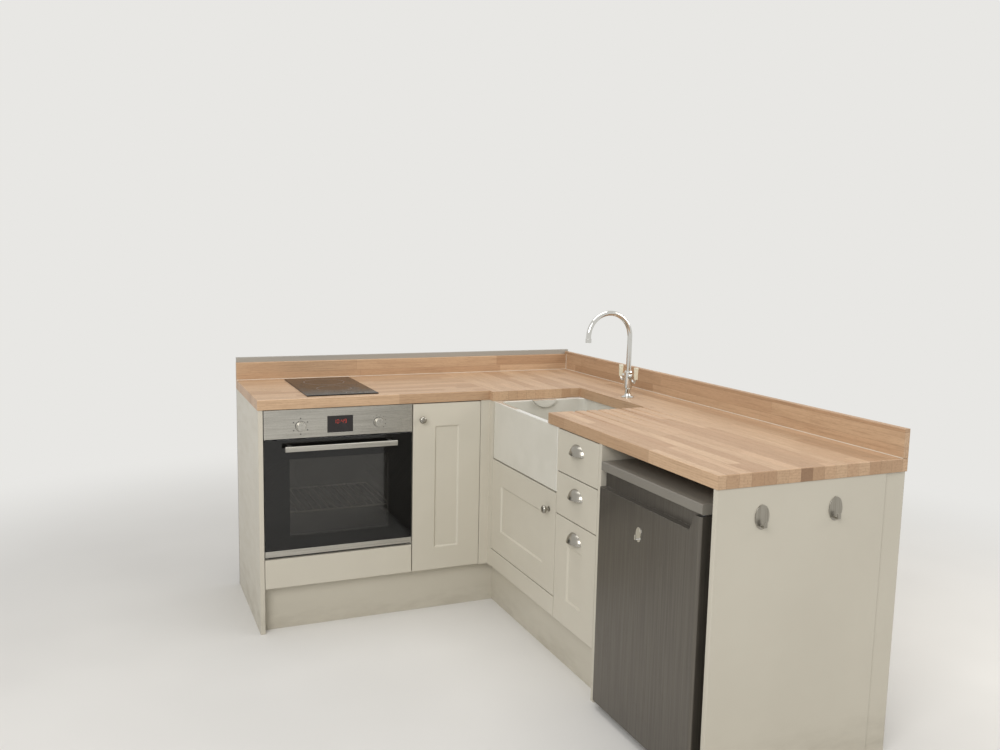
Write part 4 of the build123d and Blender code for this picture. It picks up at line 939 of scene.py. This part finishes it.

# %% [markdown]
# ** Knob shadow rings.** A black ring between each knob and the fascia is painted shadow: it stands for
# the thin shadow round the knob. It is a flat ring, thinner than the gap that the knob leaves.

# %% Knob shadow rings
shadow_ring_inner = 0.008
shadow_ring_outer = 0.0213
shadow_ring_thick = 0.0002
work = bmesh.new()
for name in ("oven_knob_left", "oven_knob_right"):
    # A black ring painted as the shadow round each knob.
    add_ring(work, shadow_ring_inner, shadow_ring_outer, shadow_ring_thick, knob_middle(name), (0, -1, 0), 48)
finish_piece("knob_shadow_rings", work, "kitchen", black_plastic)
print("two collars", round(shadow_ring_outer * 2000, 1), "mm wide")

# %% [markdown]
# ## Inside the oven
#
# A silicone seal follows the mouth of the oven, in the narrow gap behind the door. The path is a rectangle
# with rounded corners, and is a function because the fridge's seal follows one too.

# %% Oven seal
corner_steps = 6


def rounded_path(low, high, radius, across, level):
    """Points round a rectangle with rounded corners; across names its two axes, level is the third value."""
    first, second = across
    points = []
    for corner, start in (((high[0], high[1]), 0), ((low[0], high[1]), 90), ((low[0], low[1]), 180),
                          ((high[0], low[1]), 270)):
        inset = [corner[axis] + (radius if corner[axis] == low[axis] else -radius) for axis in (0, 1)]
        for step in range(corner_steps + 1):
            angle = math.radians(start + 90 * step / corner_steps)
            point = [level, level, level]
            point[first] = inset[0] + radius * math.cos(angle)
            point[second] = inset[1] + radius * math.sin(angle)
            points.append(point)
    return points


cavity_low = Vector((-0.722, 0.508, 0.368))
cavity_high = Vector((-0.272, 0.918, 0.716))
door_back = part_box("oven_door_trim")[1].y
flange_front = fascia_high.y
seal_radius = (flange_front - door_back) / 2 - 0.0001
seal_out = 0.008
work = bmesh.new()
add_tube(work, rounded_path((cavity_low.x - seal_out, cavity_low.z - seal_out),
                            (cavity_high.x + seal_out, cavity_high.z + seal_out), 0.02, (0, 2),
                            (flange_front + door_back) / 2), seal_radius, 8, closed=True)
finish_piece("oven_seal", work, "kitchen", dark_rubber)
print("seal", round(seal_radius * 2000, 1), "mm thick")

# %% [markdown]
# The grill element hangs under the oven's roof: one tube bent to and fro, which comes in through the back
# wall and stops behind the door.

# %% Grill element
grill_y = (0.56, 0.87)
grill_z = cavity_high.z - 0.018
grill_turns = 7
grill_left = cavity_low.x + 0.075
bend_radius = 0.022
bend_steps = 8
points = [(grill_left, cavity_high.y, grill_z)]
for turn in range(grill_turns):
    x = grill_left + turn * 2 * bend_radius
    near, far = grill_y
    start, end, outwards = (far, near, -1) if turn % 2 == 0 else (near, far, 1)
    points.append((x, start, grill_z))
    for step in range(bend_steps + 1 if turn < grill_turns - 1 else 1):
        angle = math.pi * step / bend_steps
        points.append((x + bend_radius - bend_radius * math.cos(angle),
                       end + outwards * bend_radius * math.sin(angle), grill_z))
work = bmesh.new()
add_tube(work, points, 0.0032, 10)
finish_piece("grill_element", work, "kitchen", element_metal)
print("grill of", grill_turns, "runs")

# %% [markdown]
# The fan behind the shelf has a thin pressed cover, whose slots are drawn as dark slivers on its face:
# painted shade, standing for the dark space seen through the slots. A lamp sits in the roof's corner.

# %% Fan cover and oven lamp
fan_middle = halfway(cavity_low, cavity_high)
fan_middle.y = cavity_high.y
cover_proud = 0.003
work = bmesh.new()
cover = [(0.1, 0), (0.098, cover_proud * 0.7), (0.09, cover_proud), (0.02, cover_proud), (0, cover_proud)]
add_turned(work, cover, fan_middle, (0, -1, 0), 64)
finish_piece("fan_cover", work, "kitchen", enamel)
work = bmesh.new()
# Black slivers: painted shade in place of the slots' openings.
fan_slot_shades = 28
for step in range(fan_slot_shades):
    angle = 2 * math.pi * step / fan_slot_shades
    add_mark(work, fan_middle + Vector((0, -cover_proud, 0)), angle, 0.035, 0.045, 0.004)
finish_piece("fan_slot_shades", work, "kitchen", black_plastic)
work = bmesh.new()
lamp_place = (cavity_high.x - 0.06, cavity_high.y - 0.07, cavity_high.z)
lamp_cap = [(0.024, 0), (0.024, 0.003), (0.02, 0.004), (0.018, 0.008), (0.01, 0.011), (0, 0.012)]
add_turned(work, lamp_cap, lamp_place, (0, 0, -1), 32)
finish_piece("oven_lamp", work, "kitchen", white_plastic)
print("cover with", fan_slot_shades, "slots, one lamp")

# %% [markdown]
# ## Screws, pads and pins
#
# One function makes a pan-head screw as a turned head with a hollow in its middle, which is all of the
# driver's recess that shows at this size. Each hinge flange has two, and each drawer front four.

# %% Hinge and drawer screws
def add_screw(work, place_at, direction, radius=0.0036, height=0.0014):
    """Add a pan-head screw with a hollow for the driver."""
    profile = [(radius, 0), (radius, height * 0.4), (radius * 0.8, height * 0.85), (radius * 0.45, height),
               (radius * 0.25, height * 0.55), (0, height * 0.35)]
    add_turned(work, profile, place_at, direction, 16)


screw_inset = 0.006
screw_steps = (0.006, 0.038)
flange_level = 0.0135
door_backs = (("narrow_door", 1, (0, 1, 0)), ("sink_door", 0, (1, 0, 0)))
for name, axis, direction in door_backs:
    low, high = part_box(name + "_hinges")
    work = bmesh.new()
    for z in [low.z + step for step in screw_steps] + [high.z - step for step in screw_steps]:
        spot = Vector((low.x + screw_inset, low.y + screw_inset, z))
        spot[axis] = low[axis] + flange_level
        add_screw(work, spot, direction)
    finish_piece(name + "_screws", work, name, zinc)
for number in (1, 2, 3):
    low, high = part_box(f"drawer_box_{number}")
    work = bmesh.new()
    for y in (low.y + 0.035, high.y - 0.035):
        for z in (low.z + 0.03, high.z - 0.02):
            add_screw(work, (low.x + 0.015, y, z), (1, 0, 0), 0.0042, 0.0018)
    finish_piece(f"drawer_{number}_screws", work, f"drawer_{number}", zinc)
print("screws on two doors and three drawers")

# %% [markdown]
# Small soft pads stop the fronts knocking on the cabinets. They fill almost all of the 2 mm between front
# and cabinet, and ride on the fronts.

# %% Bumper pads
def add_pad(work, spot, direction):
    """Add a domed pad 8 mm wide."""
    add_turned(work, [(0.004, 0), (0.004, 0.0009), (0.0032, 0.0015), (0.0016, 0.0018), (0, 0.0018)], spot,
               direction, 20)


door_pad_inset, door_pad_from_end = 0.008, 0.02
drawer_pad_inset, drawer_pad_from_end = 0.007, 0.012
for name, axis, direction in door_backs:
    low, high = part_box(name)
    work = bmesh.new()
    for z in (low.z + door_pad_from_end, high.z - door_pad_from_end):
        spot = Vector((low.x + door_pad_inset, low.y + door_pad_inset, z))
        spot[axis] = high[axis]
        add_pad(work, spot, direction)
    finish_piece(name + "_pads", work, name, clear_pad)
for number in (1, 2, 3):
    low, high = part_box(f"drawer_front_{number}")
    work = bmesh.new()
    for y in (low.y + drawer_pad_inset, high.y - drawer_pad_inset):
        add_pad(work, (high.x, y, high.z - drawer_pad_from_end), (1, 0, 0))
        add_pad(work, (high.x, y, low.z + drawer_pad_from_end), (1, 0, 0))
    finish_piece(f"drawer_{number}_pads", work, f"drawer_{number}", clear_pad)
print("pads on two doors and three drawers")

# %% [markdown]
# The narrow cupboard's shelf rests on four pins, and spare holes for them run up both sides, drawn as thin
# black discs: painted shade for the holes' dark insides. The drawer runners are screwed to the cabinet
# sides through their webs.

# %% Shelf pins, pin holes and runner screws
case_low, case_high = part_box("narrow_carcase")
side_board = 0.018
pin_radius = 0.0025
pin_z = halfway(case_low, case_high).z - 0.0026
pin_y = (case_low.y + 0.06, case_high.y - 0.07)
cupboard_sides = ((case_low.x + side_board, (1, 0, 0)), (case_high.x - side_board, (-1, 0, 0)))
work = bmesh.new()
for y in pin_y:
    for x, inwards in cupboard_sides:
        add_turned(work, [(pin_radius, 0), (pin_radius, 0.008), (0.002, 0.0085), (0, 0.0085)], (x, y, pin_z),
                   inwards, 16)
finish_piece("shelf_pins", work, "kitchen", zinc)
work = bmesh.new()
# The spare holes are black discs: painted shade for their dark insides.
hole_rows = 5
hole_pitch = 0.032
hole_depth = 0.0001
for y in pin_y:
    for row in range(-hole_rows, hole_rows + 1):
        for x, inwards in cupboard_sides:
            if row:
                add_turned(work, [(pin_radius, 0), (pin_radius, hole_depth), (0, hole_depth)],
                           (x, y, pin_z + hole_pitch * row), inwards, 12)
finish_piece("pin_hole_shades", work, "kitchen", black_plastic)
runner_low, runner_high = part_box("drawer_runners")
web = 0.002
work = bmesh.new()
for number in (1, 2, 3):
    low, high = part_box(f"drawer_box_{number}")
    for x in (runner_low.x + 0.037, runner_low.x + 0.25, runner_high.x - 0.06):
        for y, inwards in ((runner_low.y + web, 1), (runner_high.y - web, -1)):
            add_screw(work, (x, y, low.z + 0.014), (0, inwards, 0))
finish_piece("runner_screws", work, "kitchen", zinc)
print("four pins,", hole_rows * 2, "holes in each row, eighteen runner screws")

# %% [markdown]
# ## Sink and tap details
#
# The waste has a strainer: two rings, sixteen spokes and a screw head in the middle. A spoke and the one
# opposite are one bar.

# %% Strainer
waste_low, waste_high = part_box("sink_waste")
waste_middle = halfway(waste_low, waste_high)
waste_middle.z = waste_high.z - 0.007
bars = 8
bar_reach = 0.0232
bar_radius = 0.0011
work = bmesh.new()
for step in range(bars):
    out = Vector((math.cos(math.pi * step / bars), math.sin(math.pi * step / bars), 0)) * bar_reach
    add_tube(work, [waste_middle - out, waste_middle + out], bar_radius, 6)
for radius in (0.0228, 0.0145):
    add_tube(work, [waste_middle + spot for spot in around_circle(radius, 36)], bar_radius, 6, closed=True)
add_screw(work, waste_middle, (0, 0, 1), 0.005, 0.0025)
finish_piece("sink_strainer", work, "kitchen", chrome)
print("strainer with", bars * 2, "spokes")

# %% [markdown]
# The tap's nozzle holds a mesh of crossed bars. Each bar is as long as the round mouth is wide at its place.

# %% Nozzle mesh
spout_low, spout_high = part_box("tap_spout")
nozzle = Vector((spout_low.x + 0.012, halfway(spout_low, spout_high).y, 1.1635))
mesh_radius, mesh_pitch, mesh_wire = 0.0088, 0.0023, 0.0004
work = bmesh.new()
for step in range(-3, 4):
    off = step * mesh_pitch
    half = math.sqrt(mesh_radius ** 2 - off ** 2)
    add_tube(work, [nozzle + Vector((off, side * half, 0.006)) for side in (-1, 1)], mesh_wire, 6)
    add_tube(work, [nozzle + Vector((side * half, off, 0.0064)) for side in (-1, 1)], mesh_wire, 6)
finish_piece("nozzle_mesh", work, "tap_spout", black_plastic)
print("nozzle mesh", round(mesh_radius * 2000, 1), "mm wide")

# %% [markdown]
# Beads of pale sealant close the worktops against their upstands, and the corner where the upstands meet.

# %% Sealant
back_low, back_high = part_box("peninsula_upstand")
wall_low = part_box("wall_upstand")[0]
work = bmesh.new()
bead = 0.0016
corner_x, corner_y = wall_low.x, back_low.y
add_tube(work, [(back_low.x + 0.001, corner_y, back_low.z), (corner_x, corner_y, back_low.z)], bead, 10)
add_tube(work, [(corner_x, wall_low.y + 0.001, wall_low.z), (corner_x, corner_y, wall_low.z)], bead, 10)
add_tube(work, [(corner_x, corner_y, wall_low.z), (corner_x, corner_y, back_high.z - 0.003)], bead, 10)
finish_piece("sealant_beads", work, "kitchen", pale_sealant)
print("three beads", round(bead * 2000, 1), "mm thick")

# %% [markdown]
# ## The fridge's seal and machinery
#
# A soft seal runs round the back of the fridge door, two ribs side by side as its bellows. They fill the
# gap to the cabinet when the door is shut.

# %% Fridge seal
door_low, door_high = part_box("fridge_door")
cabinet_low, cabinet_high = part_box("fridge_cabinet")
rib = (cabinet_low.x - door_high.x) / 2 - 0.0001
work = bmesh.new()
for spread in (0.0, 2 * rib):
    add_tube(work, rounded_path((door_low.y + 0.023 + spread, door_low.z + 0.03 + spread),
                                (door_high.y - 0.012 - spread, door_high.z - 0.015 - spread), 0.014, (1, 2),
                                door_high.x + rib), rib, 8, closed=True)
finish_piece("fridge_seal", work, "fridge_door", dark_rubber)
print("seal ribs", round(rib * 2000, 1), "mm thick")

# %% [markdown]
# Behind the cabinet hangs the condenser: one tube that runs to and fro, with upright wires welded to both
# its faces to carry the heat away. Four straps hold it off the cabinet.

# %% Condenser
coil_x = cabinet_high.x + 0.016
coil_y = (cabinet_low.y + 0.05, cabinet_high.y - 0.05)
coil_rows = 10
coil_bottom = cabinet_low.z + 0.25
coil_pitch = 0.052
coil_radius, wire_radius = 0.0024, 0.0008
wire_offset = 0.0031
points = []
for row in range(coil_rows):
    z = coil_bottom + coil_pitch * row
    ends = coil_y if row % 2 == 0 else coil_y[::-1]
    points += [(coil_x, ends[0], z), (coil_x, ends[1], z)]
    if row < coil_rows - 1:
        turn_out = 1 if row % 2 == 0 else -1
        points += [(coil_x, ends[1] + turn_out * coil_pitch / 2 * math.sin(math.radians(angle)),
                    z + coil_pitch / 2 * (1 - math.cos(math.radians(angle)))) for angle in range(20, 180, 20)]
work = bmesh.new()
add_tube(work, points, coil_radius, 8)
wires = 38
wire_z = (coil_bottom - 0.012, coil_bottom + coil_pitch * (coil_rows - 1) + 0.012)
for x in (coil_x - wire_offset, coil_x + wire_offset):
    for step in range(wires):
        y = coil_y[0] + (coil_y[1] - coil_y[0]) * (step + 0.5) / wires
        add_tube(work, [(x, y, z) for z in wire_z], wire_radius, 6)
for y in coil_y:
    for z in (coil_bottom + coil_pitch, coil_bottom + coil_pitch * (coil_rows - 2)):
        add_slab(work, (cabinet_high.x, y - 0.008, z + 0.01), (coil_x + 0.004, y + 0.008, z + 0.012))
finish_piece("fridge_condenser", work, "kitchen", black_paint)
print(coil_rows, "tube runs and", wires * 2, "wires")

# %% [markdown]
# The compressor is a welded steel pot, wider at its seam, on four rubber feet over a base plate. A box for
# its wiring sits on its side, and a pipe leaves its top for the condenser.

# %% Compressor
bay_middle = Vector((cabinet_high.x - 0.072, cabinet_low.y + 0.2, cabinet_low.z + 0.03))
work = bmesh.new()
seam_radius = 0.063
pot = [(0.0, 0.0), (0.045, 0.0), (0.056, 0.008), (0.06, 0.02), (0.06, 0.052), (seam_radius, 0.053),
       (seam_radius, 0.057), (0.06, 0.058), (0.058, 0.09), (0.048, 0.112), (0.028, 0.122), (0.0, 0.124)]
add_turned(work, pot, bay_middle + Vector((0, 0, 0.016)), (0, 0, 1), 48)
for y in (-0.075, 0.075):
    add_slab(work, bay_middle + Vector((-0.05, y - 0.012, 0.0)),
             bay_middle + Vector((0.05, y + 0.012, 0.004)))
    for x in (-0.038, 0.038):
        add_turned(work, [(0.011, 0.004), (0.013, 0.007), (0.013, 0.012), (0.009, 0.016), (0, 0.016)],
                   bay_middle + Vector((x, y, 0)), (0, 0, 1), 20)
add_slab(work, bay_middle + Vector((-0.05, -0.08, 0.0)), bay_middle + Vector((0.05, 0.08, 0.002)))
add_slab(work, bay_middle + Vector((-0.022, 0.058, 0.03)), bay_middle + Vector((0.022, 0.088, 0.085)))
pipe = [(0.03, -0.03, 0.12), (0.03, -0.05, 0.132), (0.03, -0.09, 0.132), (0.05, -0.11, 0.13),
        (0.072, -0.12, 0.14), (0.088, -0.12, 0.16), (0.088, -0.12, 0.21), (0.088, -0.12, 0.235)]
add_tube(work, [bay_middle + Vector(point) for point in pipe], 0.003, 8)
finish_piece("fridge_compressor", work, "kitchen", black_paint)
print("compressor", round(seam_radius * 2000), "mm wide")

# %% [markdown]
# Inside the fridge a white housing holds the thermostat's dial and the lamp behind a ribbed lens.

# %% Fridge thermostat
def round_edges(work, wall_y, radius):
    """Round all edges that stand clear of the wall."""
    clear = [edge for edge in work.edges if min(vert.co.y for vert in edge.verts) > wall_y + 0.001]
    bmesh.ops.bevel(work, geom=clear, offset=radius, segments=3, affect="EDGES")


lining_y = cabinet_low.y + 0.04
house_low = Vector((cabinet_low.x + 0.14, lining_y, cabinet_high.z - 0.13))
house_high = Vector((cabinet_low.x + 0.29, lining_y + 0.026, cabinet_high.z - 0.075))
work = bmesh.new()
add_slab(work, house_low, house_high)
round_edges(work, lining_y, 0.005)
dial_middle = (house_low.x + 0.034, house_high.y, (house_low.z + house_high.z) / 2)
add_turned(work, [(0.017, 0), (0.017, 0.004), (0.0155, 0.0055), (0, 0.0055)], dial_middle, (0, 1, 0), 32)
add_slab(work, (dial_middle[0] - 0.0015, house_high.y + 0.005, dial_middle[2] - 0.014),
         (dial_middle[0] + 0.0015, house_high.y + 0.009, dial_middle[2] + 0.014))
finish_piece("fridge_thermostat", work, "kitchen", white_plastic)
lens, tree, shader, place_in_piece = new_material("lamp_lens", Transmission_Weight=0.6, IOR=1.46)
ribs = add_node(tree, "TexWave", {"Vector": place_in_piece, "Scale": 90.0}, bands_direction="X").outputs[1]
wire(tree, shader, Base_Color=mix_colour(tree, ribs, colour(236, 236, 230), colour(220, 221, 214)),
     Roughness=fade(tree, ribs, 0.0, 1.0, 0.2, 0.35), Normal=relief(tree, ribs, 0.0005))
work = bmesh.new()
add_slab(work, (house_low.x + 0.064, house_high.y, house_low.z + 0.01),
         (house_high.x - 0.01, house_high.y + 0.008, house_high.z - 0.01))
round_edges(work, house_high.y, 0.003)
finish_piece("fridge_lamp_lens", work, "kitchen", lens)
print("thermostat and lamp in place")

# %% [markdown]
# ## Light and floor
#
# The floor is plain and pale, and fades into the backdrop with distance. It is part of the studio and not of
# the kitchen.

# %% Floor
floor_work = bmesh.new()
bmesh.ops.create_grid(floor_work, x_segments=8, y_segments=8, size=30.0)
floor_mesh = bpy.data.meshes.new("studio_floor")
floor_work.to_mesh(floor_mesh)
floor_work.free()
floor = bpy.data.objects.new("studio_floor", floor_mesh)
scene.collection.objects.link(floor)

backdrop = colour(232, 231, 228)
floor_finish, tree, shader, place_in_piece = new_material("studio_floor", Roughness=0.7)
floor_tones = colour(220, 218, 214), colour(224, 222, 218)
feed(tree, shader["Base Color"], mottled(tree, place_in_piece, 1.5, *floor_tones))
away = add_node(tree, "VectorMath", {0: place_in_piece}, operation="LENGTH").outputs["Value"]
far_light = add_node(tree, "Emission", {"Color": backdrop, "Strength": 1.0}).outputs[0]
shaded = tree.nodes["Principled BSDF"].outputs[0]
surface = add_node(tree, "MixShader", {0: fade(tree, away, 1.7, 4.0), 1: shaded, 2: far_light}).outputs[0]
feed(tree, tree.nodes["Material Output"].inputs["Surface"], surface)
floor.data.materials.append(floor_finish)
print("floor made")

# %% [markdown]
# The world is pale all round. Glossy things show the backdrop too, so the world asks what kind of ray it
# meets, and gives the rest a weaker and slightly warmer light.

# %% World
world = bpy.data.worlds.new("studio")
world.use_nodes = True
scene.world = world
tree = world.node_tree
rays = add_node(tree, "LightPath", {}).outputs
seen = calc(tree, "MAXIMUM", calc(tree, "MAXIMUM", rays["Is Camera Ray"], rays["Is Glossy Ray"]),
            rays["Is Transmission Ray"])
soft = add_node(tree, "Background", {"Color": (1.0, 0.99, 0.97, 1.0), "Strength": 0.42}).outputs[0]
shown = add_node(tree, "Background", {"Color": backdrop, "Strength": 1.0}).outputs[0]
both = add_node(tree, "MixShader", {0: seen, 1: soft, 2: shown}).outputs[0]
feed(tree, tree.nodes["World Output"].inputs["Surface"], both)
print("world made")

# %% [markdown]
# The light is soft: one large lamp over the camera's left shoulder, a weaker, warmer one from behind the
# sink, and one above. Large lamps give shadows with wide, soft edges, as a window does.

# %% Lamps
def soft_lamp(name, from_place, at, size, power, tint=(1.0, 1.0, 1.0)):
    """A large square lamp that looks at a point."""
    lamp = bpy.data.lights.new(name, "AREA")
    lamp.size = size
    lamp.energy = power
    lamp.color = tint
    holder = bpy.data.objects.new(name, lamp)
    holder.location = from_place
    holder.rotation_mode = "QUATERNION"
    holder.rotation_quaternion = (Vector(at) - Vector(from_place)).to_track_quat("-Z", "Y")
    holder.visible_camera = False
    scene.collection.objects.link(holder)


soft_lamp("key_lamp", (-3.4, -3.6, 3.4), (0.0, 0.0, 0.5), 2.6, 150)
soft_lamp("sink_side_lamp", (3.6, -1.6, 2.6), (0.2, 0.0, 0.8), 1.8, 60, (1.0, 0.97, 0.92))
soft_lamp("top_lamp", (0.0, 0.2, 4.2), (0.0, 0.0, 0.0), 3.0, 60)
print("three lamps lit")
